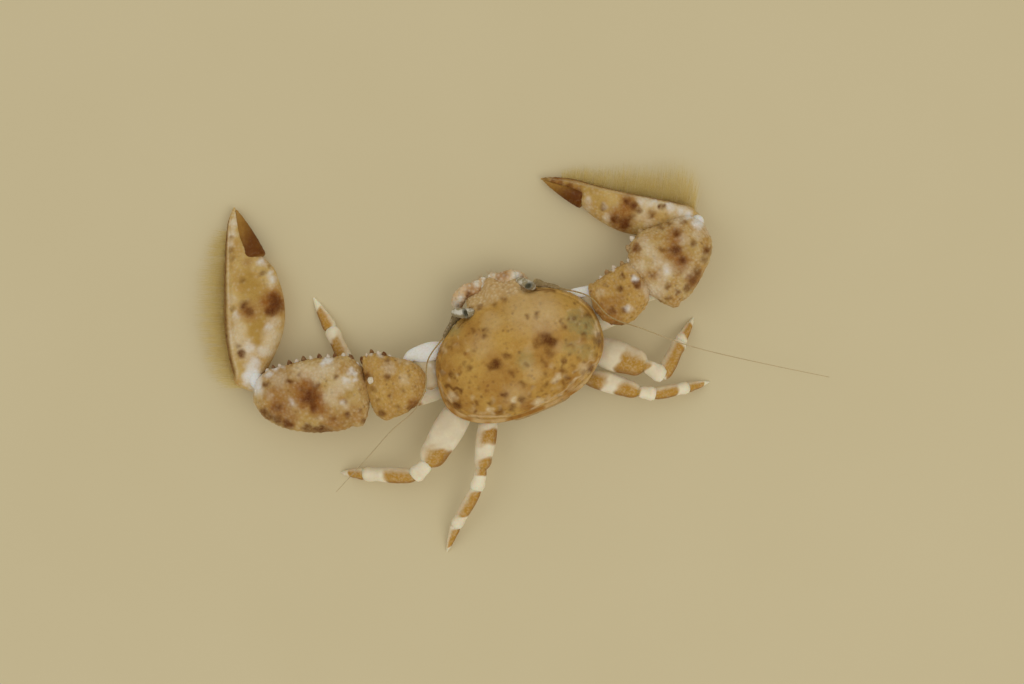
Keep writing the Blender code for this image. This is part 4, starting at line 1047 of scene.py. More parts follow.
def build_feelers(finishes):
    """Both pairs of feelers: the ringed whips, their thick bases, and the short folded pair."""
    for side, sign in SIDES:
        base = smooth_path(mirrored(FEELER_BASE, sign), 60)
        t = np.linspace(0, 1, 60)
        form = Form()
        add_tube(form, base, 0.24 - 0.17 * t + 0.03 * np.sin(t * 9.0), 26, rough=(15, 30, 0.05, 0.015),
                 dark=(0.8 if side == "left" else 0.45) * smooth(0.0, 0.15, t))
        form.full("antenna_base_" + side, finishes.get("feeler"), "feeler")
        route = smooth_path([*mirrored([WHIP_ROOT], sign), *WHIP_ROUTES[side][1:]], 400)
        form = Form()
        t = np.linspace(0, 1, 400)
        rings = np.abs(np.sin(t * 75 * math.pi))
        add_tube(form, route, (0.034 - 0.02 * t) * (1.0 + 0.2 * rings), 8,
                 dark=(0.5 if side == "left" else 0.25) * (1 - smooth(0.1, 0.6, rings)),
                 pale=0.35 * smooth(0.3, 0.6, t))
        form.full("antenna_whip_" + side, finishes.get("feeler"), "feeler")
        form = Form()
        path = smooth_path(mirrored(SHORT_FEELER, sign), 40)
        t = np.linspace(0, 1, 40)
        add_tube(form, path, 0.24 - 0.06 * t + 0.03 * np.sin(t * 14.0), 20, rough=(19, 40, 0.06, 0.03),
                 pale=np.full(40, 0.55), dots=SHORT_FEELER_DOTS)
        form.full("antennule_" + side, finishes.get("mouth_shell"), "feeler")


# Marks on the end joints of the mouth limbs, one of them a painted highlight: (photo x, photo y, radius,
# strength)
PALP_DOTS = (
    (468.5, 295.5, 2.4, 0.9), (484, 291, 1.8, 0.7), (458, 306, 1.6, 0.5), (460.5, 309, 1.6, 0.5),
    (505, 276, 1.6, 0.4), (498, 279, 1.6, 0.5), (523, 277, 2.2, 0.5),
)
PALP_RUST = (
    (473, 291, 7, 0.9), (467, 294, 4, 0.7), (504, 275.5, 5.5, 0.9), (499, 277, 3, 0.7),
    (481, 289, 3, 0.6),
)
# Pale marks: the first, on top of the left palp, is a painted highlight; the rest are the joints' own pale
# skin
PALP_PALE_AND_HIGHLIGHT = (
    (476, 282.5, 3.6, 0.9), (461, 299, 3.4, 0.9), (516, 275, 4.6, 0.95), (493, 275, 3.2, 0.7),
    (456, 305, 4.6, 0.85), (454, 311, 3, 0.7), (521, 281, 4.4, 0.85), (513, 281, 3, 0.6),
)


# End joints of the mouth limbs as (photo x, photo y, height, radius), from root to tip
PALP_ROUTES = {
    "left": (
        (457, 305, 1.3, 0.3), (459.5, 297, 1.7, 0.33), (466, 291.5, 1.9, 0.35),
        (474, 288.5, 1.95, 0.33), (479, 284, 1.8, 0.24), (482.5, 279.5, 1.6, 0.15),
    ),
    "right": (
        (523.5, 281, 1.3, 0.3), (517, 277, 1.7, 0.33), (510, 277, 1.9, 0.35), (503, 278.5, 1.95, 0.33),
        (496, 277.5, 1.8, 0.24), (490, 276, 1.6, 0.15),
    ),
}


def add_hairs(form, draw, root, way, count, long, radius=0.008, spread=0.35):
    """Add a small tuft of bristles that fan out from a root."""
    way = np.array(way, float) / np.linalg.norm(way)
    for _ in range(count):
        lean = way + draw.normal(0, spread, 3)
        start = np.array(root) + draw.normal(0, 0.03, 3)
        tip = start + lean / np.linalg.norm(lean) * long * draw.uniform(0.6, 1.1)
        tip[2] = max(tip[2], 0.03)
        add_bristle(form, start, tip, radius, draw.normal(0, 0.03), (0.5, 0.5))


# The flat plate of each mouth limb: its two ends on the left side, and its half width
PLATE_LINE = ((0.75, -1.75, 0.95), (1.3, -3.35, 1.15))
PLATE_HALF = [(0.0, 0.1), (0.1, 0.3), (0.35, 0.44), (0.8, 0.4), (0.95, 0.24), (1.0, 0.05)]
PALP_TUFTS = 24


def build_mouth_limbs(finishes):
    """The flat plates and bent end joints of the outermost mouth limbs, with their bristles."""
    for side, sign in SIDES:
        draw = np.random.default_rng(51 if sign > 0 else 52)
        form = Form()
        thin = scaled(PLATE_HALF, 0.55)
        points, t, _ = segment_grid(*mirrored(PLATE_LINE, sign), PLATE_HALF, PLATE_HALF, thin, thin,
                                        60, 40, 2.4)
        points, grains = raise_granules(points, 61, 60, 0.07, 0.025, np.ones(t.shape))
        add_loft(form, points, points[0].mean(0), points[-1].mean(0),
                 rust=0.7 * smooth(0.0, 0.8, waves(points, 0.8, 19)), pale=0.5 * grains)
        form.piece("mouth_plate_" + side, finishes.get("under_shell"),
                   ["mouth_limb_" + side + "_plate"])
        form = Form()
        stops = [(*crab_place(px, py), z, radius) for px, py, z, radius in PALP_ROUTES[side]]
        path = smooth_path([stop[:3] for stop in stops], 110)
        t = np.linspace(0, 1, 110)
        thick = evenly([stop[3] for stop in stops], t)
        joints = np.abs(np.sin(t * 3.5 * math.pi)) ** 0.4
        add_tube(form, path, thick * (0.84 + 0.18 * joints), 34, rough=(17, 170, 0.085, 0.06))
        skin = form.points[-1]
        light = form.masks["pale"][-1]
        form.masks["dark"][-1] = spots(skin, PALP_DOTS)
        form.masks["rust"][-1] = spots(skin, PALP_RUST)
        # Pale skin and granules, with a painted highlight on top of the left palp
        form.masks["pale"][-1] = np.maximum(0.9 * light, spots(skin, PALP_PALE_AND_HIGHLIGHT))
        for k in range(PALP_TUFTS):
            place = 0.15 + 0.85 * k / (PALP_TUFTS - 1)
            centre = path[int(place * 109)]
            outward = np.array((0.2 * sign * (1 - 2 * place), -1.0, draw.normal(-0.1, 0.3)))
            add_hairs(form, draw, centre + outward * 0.15, outward, 4, 0.3, 0.006)
        form.piece("mouth_palp_" + side, finishes.get("mouth_shell"),
                   ["mouth_limb_" + side + "_palp"])


# Claw limbs: centre lines in millimetres, and reach to the front and rear sides
CLAW_LINES = {
    "left": {
        "ischium": ((2.95, -1.2, 1.3), (5.35, -1.15, 2.1)),
        "merus": ((4.85, -0.8, 2.3), (7.95, -1.27, 2.35)),
        "carpus": ((7.7, -1.3, 2.3), (13.5, -3.15, 1.7)),
        "palm": ((13.35, -3.55, 1.25), (10.65, -12.75, 0.35)),
    },
    "right": {
        "ischium": ((-2.95, -1.2, 1.3), (-4.95, -1.1, 2.1)),
        "merus": ((-4.45, -0.6, 2.3), (-7.45, -0.75, 2.35)),
        "carpus": ((-7.1, -0.6, 2.3), (-11.3, -2.55, 1.7)),
        "palm": ((-11.3, -2.9, 1.25), (-4.6, -7.9, 0.35)),
    },
}
CLAW_FRONT = {
    "left": {
        "merus": (
            (0.0, 0.1), (0.05, 0.45), (0.15, 0.85), (0.36, 1.2), (0.6, 1.6), (0.85, 1.75), (0.96, 1.3),
            (1.0, 0.2),
        ),
        "carpus": (
            (0.0, 0.15), (0.05, 1.0), (0.12, 1.6), (0.3, 1.8), (0.5, 1.8), (0.7, 1.6), (0.9, 1.25),
            (0.97, 0.8), (1.0, 0.15),
        ),
    },
    "right": {
        "merus": (
            (0.0, 0.1), (0.05, 0.9), (0.2, 1.2), (0.4, 1.3), (0.7, 1.4), (0.88, 1.25), (0.96, 0.85),
            (1.0, 0.2),
        ),
        "carpus": (
            (0.0, 0.2), (0.05, 1.0), (0.15, 1.55), (0.3, 2.0), (0.42, 2.05), (0.65, 1.5), (0.88, 0.95),
            (0.96, 0.6), (1.0, 0.1),
        ),
    },
}
CLAW_REAR = {
    "left": {
        "merus": (
            (0.0, 0.1), (0.05, 0.6), (0.2, 1.15), (0.4, 1.5), (0.65, 1.65), (0.88, 1.5), (0.97, 0.9),
            (1.0, 0.2),
        ),
        "carpus": (
            (0.0, 0.15), (0.05, 1.3), (0.2, 1.85), (0.4, 2.0), (0.62, 1.85), (0.82, 1.4), (0.94, 0.8),
            (1.0, 0.15),
        ),
    },
    "right": {
        "merus": (
            (0.0, 0.1), (0.04, 0.6), (0.1, 0.92), (0.2, 1.2), (0.45, 1.42), (0.7, 1.2), (0.9, 0.8),
            (1.0, 0.15),
        ),
        "carpus": (
            (0.0, 0.2), (0.05, 1.4), (0.2, 1.95), (0.42, 2.0), (0.6, 1.8), (0.8, 1.45), (0.93, 0.9),
            (1.0, 0.15),
        ),
    },
}
PALM_OUTER = {
    "left": (
        (0.0, 0.15), (0.03, 0.7), (0.12, 1.0), (0.25, 1.15), (0.35, 1.17), (0.5, 1.05), (0.67, 0.86),
        (0.83, 0.63), (0.94, 0.36), (1.0, 0.06),
    ),
    "right": (
        (0.0, 0.12), (0.05, 0.36), (0.15, 0.42), (0.3, 0.38), (0.5, 0.32), (0.67, 0.33), (0.8, 0.38),
        (0.92, 0.25), (1.0, 0.05),
    ),
}
PALM_INNER = {
    "left": (
        (0.0, 0.15), (0.04, 0.4), (0.12, 0.85), (0.21, 1.4), (0.3, 1.8), (0.44, 2.04), (0.56, 1.92),
        (0.66, 1.62), (0.71, 1.25), (0.77, 0.7), (0.85, 0.3), (0.93, 0.1), (1.0, 0.02),
    ),
    "right": (
        (0.0, 0.15), (0.04, 0.6), (0.12, 1.1), (0.21, 1.45), (0.3, 1.62), (0.42, 1.7), (0.55, 1.5),
        (0.66, 1.15), (0.71, 0.9), (0.77, 0.5), (0.85, 0.22), (0.93, 0.08), (1.0, 0.02),
    ),
}
# Front-edge teeth of each segment: first and last share of its length, how many, and their size
CLAW_TEETH = {
    ("left", "merus"): (0.5, 0.93, 6, 0.17),
    ("left", "carpus"): (0.08, 0.86, 13, 0.18),
    ("right", "merus"): (0.34, 0.9, 5, 0.19),
    ("right", "carpus"): (0.12, 0.46, 4, 0.22),
}
# A white knob on the left upper arm, in photo pixels, with its height and half sizes
MERUS_KNOB = (373, 380)
KNOB_HEIGHT = 3.08
KNOB_SIZE = (0.23, 0.23, 0.18)

# Where each finger is hinged and ends along the hand, and how far inward from its centre line
FINGER_ROOT = 0.7
FINGER_TIP = 0.985
FINGER_REACH = {"left": (0.78, 0.08), "right": (0.42, 0.03)}

# Routes of the long feelers as seen from above, rising over the claw limbs
WHIP_ROUTES = {
    "left": (
        (3.75, -2.3, 2.75), (4.4, -1.5, 3.6), (5.1, -0.2, 3.9), (6.1, 0.6, 3.4), (7.6, 1.1, 2.4),
        (9.4, 1.95, 1.6), (11.5, 2.9, 1.0),
    ),
    "right": (
        (-3.75, -2.3, 2.75), (-4.4, -1.3, 3.6), (-5.0, 0.1, 3.9), (-6.3, 1.3, 3.3), (-7.9, 2.8, 2.7),
        (-9.5, 4.05, 2.2), (-11.9, 5.75, 1.6), (-14.3, 7.4, 1.1),
    ),
}


def claw_point(side, part, t, reach, rise=0.0):
    """A point beside a claw segment's centre line; reach is positive to the left of its way."""
    start, end = (np.array(p) for p in CLAW_LINES[side][part])
    axis = end - start
    across, up = frame_along(axis / np.linalg.norm(axis))
    return start + axis * t + across * reach + up * rise


def round_ends(half, tip=1.0):
    """Reaches that are full in the middle and rounded at both ends."""
    return [(0.0, half * 0.12), (0.06, half * 0.62), (0.2, half * 0.95), (0.5, half), (0.8, half * tip),
            (0.94, half * tip * 0.62), (1.0, half * tip * 0.12)]


def claw_marks(side, points):
    """The marks of a claw limb over a grid, on its upper side."""
    level = grid_normals(points)[..., 2]
    above = smooth(-0.15, 0.25, level)
    return {
        "dark": spots(points, CLAW_DARK[side]) * smooth(-0.6, -0.1, level),
        "rust": spots(points, CLAW_RUST[side]) * above,
        "pale": spots(points, CLAW_PALE[side]) * above,
        "white": spots(points, CLAW_WHITE[side]) * above,
        "zone": spots(points, CLAW_ZONE[side]) * above,
    }


def build_arm(finishes, side, sign, part, seed):
    """The upper arm or the wrist segment of a claw limb, with the lobes on its front edge."""
    front_sign = -sign
    start, end = CLAW_LINES[side][part]
    front, rear = CLAW_FRONT[side][part], CLAW_REAR[side][part]
    left, right = (rear, front) if sign > 0 else (front, rear)
    points, t, angle = segment_grid(start, end, left, right, round_ends(0.95, 1.05), round_ends(0.9),
                                    220, 190, 2.3)
    length = np.linalg.norm(np.array(end) - np.array(start))
    inner = smooth(0, 0.08, t) * (1 - smooth(0.92, 1, t))
    points[..., 2] += 0.035 * waves(points, 1.1, seed) * inner
    above = smooth(-0.2, 0.3, grid_normals(points)[..., 2])
    points[..., 2] += rugae(points, t * length, 0.3, 0.03, seed) * inner * above
    front_side = smooth(0.1, 0.7, np.cos(angle) * front_sign)
    count, light = (620, 0.3) if part == "carpus" else (300, 0.2)
    points, grains = raise_granules(points, seed, count, 0.08, 0.045, (0.45 + front_side) * above)
    marks = claw_marks(side, points)
    shy = 1 - 0.55 * np.maximum(marks["dark"], marks["rust"])
    marks["pale"] = np.clip(marks["pale"] + light * grains, 0, 1) * shy
    form = Form()
    add_loft(form, points, start, end, **marks)
    if (side, part) == ("left", "merus"):
        add_ball(form, (*crab_place(*MERUS_KNOB), KNOB_HEIGHT), KNOB_SIZE, pale=1.0)
    first, last, count, size = CLAW_TEETH[side, part]
    draw = np.random.default_rng(seed)
    for i in range(count):
        share = i / (count - 1)
        place = first + (last - first) * share + draw.uniform(-0.01, 0.01)
        reach = float(along(front, place))
        long = size * (0.55 + 0.4 * math.sin(math.pi * share) + 0.25 * (i % 2))
        root = claw_point(side, part, place, front_sign * (reach - size * 1.1), 0.05)
        tip = claw_point(side, part, place + draw.uniform(-0.01, 0.02), front_sign * (reach + long), 0.2)
        shade = 0.85 * (i % 2) if side == "left" else 0.4 * (i % 2)
        thick = size * draw.uniform(0.6, 0.85)
        add_tooth(form, root, tip, thick, dark=shade, white=0.5 * ((i + 1) % 2), pale=0.2)
    finish = finishes.get("upper_arm" if part == "merus" else "wrist")
    form.full("claw_" + side + "_" + part, finish, "claw_shell")


# Marks on the skin at the claw limbs' roots, in photo pixels
ROOT_RUST = ((576, 294, 5), (572, 300, 4), (433, 390, 4))
ROOT_DARK = ((577, 297, 2.6), (573, 290, 2))
ROOT_PALE = ((566, 291, 4), (583, 289, 3.5), (437, 372, 3), (430, 366, 2))

# Reaches of the claw limbs' roots to the sides, downward and upward along their length
ROOT_HALF = [(0.0, 0.5), (0.1, 0.65), (0.5, 0.85), (0.9, 0.9), (1.0, 0.4)]
ROOT_DEEP = [(0.0, 0.3), (0.1, 0.4), (0.5, 0.55), (0.9, 0.65), (1.0, 0.3)]
ROOT_TALL = [(0.0, 0.3), (0.1, 0.4), (0.5, 0.35), (0.9, 0.25), (1.0, 0.1)]

# The pale fold of skin at the front of each claw limb's root: (x, y, height, half width)
ROOT_FOLDS = {
    "left": (
        (3.45, -1.75, 1.9, 0.35), (4.0, -1.85, 2.1, 0.48), (4.6, -1.95, 2.2, 0.46),
        (5.15, -2.05, 2.25, 0.3), (5.62, -1.78, 2.2, 0.2),
    ),
    "right": (
        (-3.4, -1.8, 1.95, 0.2), (-3.9, -1.72, 2.1, 0.26), (-4.4, -1.6, 2.2, 0.26),
        (-4.75, -1.5, 2.25, 0.22), (-5.0, -1.3, 2.3, 0.14),
    ),
}


def build_claws(finishes):
    """Both claw limbs: root skin, upper arm, wrist segment, hand and fingers."""
    for side, sign in SIDES:
        build_arm(finishes, side, sign, "merus", 11)
        build_arm(finishes, side, sign, "carpus", 23)
        start, end = CLAW_LINES[side]["ischium"]
        left = ROOT_HALF if sign > 0 else scaled(ROOT_HALF, 0.66)
        points, _, _ = segment_grid(start, end, left, ROOT_HALF, ROOT_TALL, ROOT_DEEP, 90, 90, 2.3)
        points[..., 2] += rugae(points, points[..., 1], 0.3, 0.012, 77)
        form = Form()
        add_loft(form, points, start, end, rust=spots(points, ROOT_RUST) * 0.8,
                 dark=spots(points, ROOT_DARK), pale=spots(points, ROOT_PALE) * 0.6)
        folds = ROOT_FOLDS[side]
        wide = evenly([fold[3] for fold in folds], np.linspace(0, 1, 50))
        add_tube(form, smooth_path([fold[:3] for fold in folds], 50), wide, 28, 0.5, pale=np.ones(50))
        form.piece("claw_" + side + "_root", finishes.get("joint_skin"),
                   ["claw_" + side + "_ischium"])
        build_hand(finishes, side, sign)


# White skin showing at each wrist: photo x and y, height, and half sizes in millimetres
WRIST_SKIN = {"left": (254, 377, 1.6, 0.4, 0.7), "right": (698, 221, 1.55, 0.34, 0.34)}
# Lines along each hand's outer edge: place and half width of the dark one, which is partly the hand's own
# dark edge line and partly painted shade where the edge turns away from the light, and of the pale one
# inside
HAND_EDGE_LINES_AND_SHADE = {"left": (0.93, 0.15, 0.7, 0.07), "right": (0.93, 0.22, 0.5, 0.14)}
# Reaches of the fingers to the side that faces away from the hand
FINGER_INNER = {
    "left": (
        (0.0, 0.4), (0.03, 0.56), (0.1, 0.53), (0.25, 0.45), (0.5, 0.38), (0.75, 0.25), (0.92, 0.1),
        (1.0, 0.03),
    ),
    "right": (
        (0.0, 0.25), (0.03, 0.37), (0.1, 0.33), (0.22, 0.27), (0.4, 0.2), (0.6, 0.13), (0.85, 0.06),
        (1.0, 0.02),
    ),
}


# Reaches of the hands upward and downward, and of the fingers towards the hand and upward
PALM_TOP = [
    (0.0, 0.15), (0.04, 0.55), (0.15, 0.85), (0.4, 1.0), (0.65, 0.8), (0.8, 0.45), (0.9, 0.3),
    (1.0, 0.12),
]
PALM_BOTTOM = [
    (0.0, 0.15), (0.04, 0.6), (0.15, 1.0), (0.4, 1.15), (0.65, 0.85), (0.85, 0.55), (1.0, 0.2),
]
FINGER_OUTER = [
    (0.0, 0.35), (0.03, 0.56), (0.08, 0.62), (0.15, 0.6), (0.6, 0.37), (0.9, 0.13), (1.0, 0.03),
]
FINGER_TALL = [(0.0, 0.2), (0.05, 0.42), (0.3, 0.5), (0.7, 0.3), (1.0, 0.05)]


def build_hand(finishes, side, sign):
    """One hand with its fixed finger, its wrist skin and its dark moving finger."""
    start, end = CLAW_LINES[side]["palm"]
    outer, inner = PALM_OUTER[side], PALM_INNER[side]
    left, right = (outer, inner) if sign > 0 else (inner, outer)
    points, t, angle = segment_grid(start, end, left, right, PALM_TOP, PALM_BOTTOM, 330, 150, 2.2, 0.0)
    outward = np.cos(angle) * sign
    above = smooth(-0.1, 0.35, grid_normals(points)[..., 2])
    middle = smooth(0.04, 0.12, t) * (1 - smooth(0.9, 1.0, t))
    ridge = np.exp(-((outward - 0.8) / 0.07) ** 2) - 0.8 * np.exp(-((outward - 0.6) / 0.08) ** 2)
    points[..., 2] += 0.05 * ridge * above * middle
    points[..., 2] += 0.03 * waves(points, 1.3, 37) * above * middle
    allowed = (0.3 + smooth(0.4, 0.9, np.abs(outward))) * above
    points, grains = raise_granules(points, 31, 520, 0.065, 0.022, allowed)
    marks = claw_marks(side, points)
    dark_and_shade_at, dark_and_shade_wide, pale_at, pale_wide = HAND_EDGE_LINES_AND_SHADE[side]
    upper = np.sin(angle) > -0.05
    # The dark rim along the upper outer edge is partly the hand's own dark line and partly painted shade
    rim = np.exp(-((outward - dark_and_shade_at) / dark_and_shade_wide) ** 2) * upper * middle
    line = np.exp(-((outward - pale_at) / pale_wide) ** 2) * above * middle
    shy = 1 - 0.6 * np.maximum(marks["dark"], marks["rust"])
    marks["pale"] = np.clip(marks["pale"] + 0.3 * line + 0.3 * grains, 0, 1) * shy * (1 - 0.8 * rim)
    marks["dark"] = np.maximum(marks["dark"], 0.8 * rim)
    marks["zone"] = np.maximum(marks["zone"], (0.15 if side == "left" else 0.7) * smooth(0.68, 0.8, t))
    form = Form()
    add_loft(form, points, start, end, **marks)
    form.piece("claw_" + side + "_hand", finishes.get("hand"), ["claw_" + side + "_palm"])
    form = Form()
    px, py, z, wide, long = WRIST_SKIN[side]
    add_ball(form, (*crab_place(px, py), z), (wide, long, 0.34), 24, 40, pale=1.0)
    form.piece("claw_" + side + "_wrist_skin", finishes.get("joint_skin"))
    build_finger(finishes, side, sign)


def build_finger(finishes, side, sign):
    """The dark moving finger of one hand."""
    root_reach, tip_reach = FINGER_REACH[side]
    start = claw_point(side, "palm", FINGER_ROOT, -sign * root_reach, 0.12)
    end = claw_point(side, "palm", FINGER_TIP, -sign * tip_reach, 0.06)
    inner = FINGER_INNER[side]
    left, right = (inner, FINGER_OUTER) if sign > 0 else (FINGER_OUTER, inner)
    points, t, angle = segment_grid(start, end, left, right, FINGER_TALL, FINGER_TALL, 150, 64, 2.0, 0.0)
    points[..., 2] += 0.02 * waves(points, 0.7, 43) * smooth(0, 0.2, points[..., 2])
    points, grains = raise_granules(points, 33, 70, 0.06, 0.02, np.ones(t.shape))
    edge = np.cos(angle) * sign
    form = Form()
    add_loft(form, points, start, end, pale=smooth(0.72, 0.98, edge) * 0.7 * (1 - smooth(0.8, 1.0, t)),
             zone=np.maximum(smooth(0.7, 1.0, t) * 0.7, 0.6 * (1 - smooth(0.0, 0.07, t))),
             rust=0.9 * smooth(0.22, 0.75, t + 0.15 * edge) + 0.15 * grains)
    form.full("claw_" + side + "_finger", finishes.get("finger"), "finger")


# Reach of each hand's fringe along its edge, in millimetres
FRINGE_LENGTH = {
    "left": ((0.0, 0.8), (0.1, 1.15), (0.35, 1.35), (0.6, 1.3), (0.8, 0.9), (0.95, 0.3)),
    "right": ((0.0, 1.2), (0.08, 1.9), (0.25, 1.7), (0.5, 1.25), (0.7, 0.85), (0.85, 0.5), (1.0, 0.2)),
}


def build_claw_bristles(finishes, per_claw):
    """The fringe of fine bristles along each hand's outer edge."""
    for side, sign in SIDES:
        draw = np.random.default_rng(71 if sign > 0 else 72)
        form = Form()
        for _ in range(per_claw):
            place = draw.beta(1.1, 1.15) * 0.86 + 0.02
            layer = draw.uniform(-1, 1)
            reach = float(along(PALM_OUTER[side], place))
            long = float(along(FRINGE_LENGTH[side], place)) * draw.beta(3, 2) * 1.35
            root = claw_point(side, "palm", place, sign * (reach - 0.2))
            root[2] = max(0.1, root[2] * 0.7 + 0.25 * layer)
            lean = draw.normal(0.15, 0.15)
            tip = claw_point(side, "palm", place + lean * long / 9.6, sign * (reach + long))
            tip[2] = max(0.04, root[2] + draw.normal(0.0, 0.2))
            add_bristle(form, root, tip, draw.uniform(0.0045, 0.0075), draw.normal(0.02, 0.07),
                        (place * 0.9 + 0.05, 0.5 + 0.3 * layer))
        form.piece("claw_" + side + "_bristles", finishes.get("bristle"), bake=True)


# Steps along a bristle, with its thickness there, and its faces
BRISTLE_STEPS = (0.0, 0.35, 0.7, 1.0)
BRISTLE_SHARES = (1.0, 0.8, 0.5, 0.08)
BRISTLE_FACES = wrap_faces(4, 3)


def add_bristle(form, root, tip, radius, sag, place):
    """Add one three-sided bristle that bends on its way from root to tip."""
    root, tip = np.array(root), np.array(tip)
    way = tip - root
    across, up = frame_along(way / np.linalg.norm(way))
    rings = []
    for step, share in zip(BRISTLE_STEPS, BRISTLE_SHARES):
        centre = root + way * step + up * sag * 4 * step * (1 - step)
        for k in range(3):
            angle = 2 * math.pi * k / 3
            rings.append(centre + (across * math.cos(angle) + up * math.sin(angle)) * radius * share)
    spread = np.array([[k % 3 * 0.0015, k // 3 * 0.001] for k in range(12)])
    form.add(np.array(rings), [*BRISTLE_FACES, [[0, 2, 1]], [[9, 10, 11]]], patch=np.array(place) + spread)


# Walking legs: joints in millimetres from the root outwards
LEG_LINES = {
    ("left", 1): (
        (2.45, 0.0, 1.25), (3.9, 0.1, 0.95), (7.35, -0.35, 0.75), (8.35, -2.0, 0.85),
        (8.5, -5.05, 0.45), (8.72, -6.85, 0.0),
    ),
    ("right", 1): (
        (-2.45, 0.0, 1.25), (-3.9, 0.1, 0.95), (-6.9, -0.2, 0.75), (-8.3, -0.15, 0.8),
        (-10.1, -1.3, 0.45), (-10.75, -2.3, 0.0),
    ),
    ("left", 2): (
        (2.2, 0.75, 1.25), (3.6, 1.25, 1.15), (6.6, 3.43, 1.75), (7.45, 3.7, 1.6), (9.85, 2.6, 0.8),
        (10.95, 2.1, 0.0),
    ),
    ("right", 2): (
        (-2.2, 0.75, 1.25), (-3.6, 1.25, 1.15), (-5.75, 3.1, 1.75), (-6.4, 3.95, 1.6),
        (-7.95, 2.7, 0.8), (-9.1, 1.85, 0.0),
    ),
    ("left", 3): (
        (1.5, 1.2, 1.25), (2.65, 2.35, 1.15), (4.1, 4.75, 1.6), (4.75, 5.6, 1.5), (6.55, 7.0, 0.7),
        (7.5, 8.05, 0.0),
    ),
    ("right", 3): (
        (-1.5, 1.2, 1.25), (-2.65, 2.35, 1.15), (-4.95, 4.25, 1.6), (-5.6, 4.65, 1.5),
        (-7.4, 5.05, 0.7), (-8.55, 5.25, 0.0),
    ),
}
LEG_PARTS = ("coxa", "merus", "carpus", "propodus", "dactyl")
LEG_HALF_WIDTHS = {
    1: (0.38, 0.6, 0.42, 0.42, 0.36),
    2: (0.4, 0.78, 0.46, 0.42, 0.31),
    3: (0.32, 0.5, 0.38, 0.34, 0.27),
}
LEG_HALF_HEIGHTS = {
    1: (0.3, 0.38, 0.34, 0.34, 0.24),
    2: (0.3, 0.5, 0.4, 0.36, 0.25),
    3: (0.3, 0.42, 0.36, 0.32, 0.24),
}
# Shares of the half width or half height along each part
LEG_TAPER = {
    "coxa": ((0.0, 0.6), (0.2, 0.95), (0.7, 0.95), (1.0, 0.4)),
    "merus": ((0.0, 0.5), (0.1, 0.8), (0.35, 1.04), (0.7, 0.94), (0.92, 0.7), (1.0, 0.3)),
    "carpus": ((0.0, 0.45), (0.12, 0.66), (0.5, 0.86), (0.85, 0.9), (0.96, 0.66), (1.0, 0.25)),
    "propodus": ((0.0, 0.5), (0.08, 0.78), (0.3, 0.98), (0.7, 0.86), (0.95, 0.72), (1.0, 0.4)),
    "dactyl": ((0.0, 0.55), (0.08, 0.88), (0.35, 0.84), (0.7, 0.56), (0.9, 0.3), (1.0, 0.1)),
}
LEG_TUFTS = 14
# Orange-brown bands of each leg, as shares of each segment's length
LEG_BANDS = {
    ("left", 1): {"merus": ((0.5, 0.8),), "propodus": ((0.42, 0.74),), "dactyl": ((0.0, 0.6),)},
    ("right", 1): {"merus": ((0.5, 0.8),), "propodus": ((0.42, 0.74),), "dactyl": ((0.0, 0.6),)},
    ("left", 2): {"merus": ((0.68, 0.97),), "propodus": ((-0.2, 0.52),), "dactyl": ((-0.1, 0.62),)},
    ("right", 2): {
        "merus": ((0.52, 1.2),),
        "carpus": ((-0.2, 0.2),),
        "propodus": ((0.02, 0.82),),
        "dactyl": ((0.22, 0.72),),
    },
    ("left", 3): {
        "merus": ((0.26, 0.52), (0.77, 1.2)),
        "carpus": ((-0.2, 0.3),),
        "propodus": ((0.02, 0.64),),
        "dactyl": ((0.06, 0.74),),
    },
    ("right", 3): {
        "merus": ((-0.2, 0.36), (0.6, 1.2)),
        "carpus": ((-0.2, 0.1),),
        "propodus": ((0.0, 0.58),),
        "dactyl": ((-0.1, 0.68),),
    },
}


def band(t, limits, soft=0.05):
    """1 between two shares of a length, with soft edges."""
    low, high = limits
    return smooth(low - soft, low + soft, t) * (1 - smooth(high - soft, high + soft, t))


def build_legs(finishes):
    """Six banded walking legs of five segments each, with fine bristles on the end joints."""
    for (side, number), joints in LEG_LINES.items():
        draw = np.random.default_rng(number * 10 + (side == "left"))
        for i, part in enumerate(LEG_PARTS):
            start, end = np.array(joints[i]), np.array(joints[i + 1])
            axis = (end - start) / np.linalg.norm(end - start)
            across, up = frame_along(axis)
            table = scaled(LEG_TAPER[part], LEG_HALF_WIDTHS[number][i])
            tall = scaled(LEG_TAPER[part], LEG_HALF_HEIGHTS[number][i])
            begin, stop = start - axis * 0.16, end + axis * 0.1 * (part != "dactyl")
            points, t, angle = segment_grid(begin, stop, table, table, tall, tall, 100, 56, 2.0, 0.0)
            lift = 0.015 * waves(points, 0.7, 100 + number + i) * smooth(0, 0.2, points[..., 2])
            points += lift[..., None] * up
            points, _ = raise_granules(points, 100 + number * 10 + i, 40, 0.05, 0.009, np.ones(t.shape))
            rearward = np.cos(angle) * (1 if side == "left" else -1)
            stripe = np.zeros(t.shape)
            uneven = t + 0.02 * waves(points, 0.5, 9) - 0.05 * (1 - rearward)
            for limits in LEG_BANDS[side, number].get(part, ()):
                stripe = np.maximum(stripe, band(uneven, limits))
            form = Form()
            add_loft(form, points, points[0].mean(0), points[-1].mean(0),
                     rust=stripe * (0.25 + 0.75 * smooth(-0.85, -0.05, rearward)),
                     dark=stripe * 0.6 * smooth(0.5, 1.0, rearward),
                     zone=np.full(t.shape, 0.6 * (part == "coxa")))
            if part in ("propodus", "dactyl"):
                for k in range(LEG_TUFTS):
                    place = 0.15 + 0.8 * k / (LEG_TUFTS - 1)
                    away = across * float(along(table, place)) * (1 if k % 2 else -1)
                    root = start + (end - start) * place + away * 0.85
                    add_hairs(form, draw, root, away + axis * 0.5, 2, 0.22, 0.004)
            form.full("leg" + str(number) + "_" + side + "_" + part, finishes.get("leg_shell"), "leg_shell")


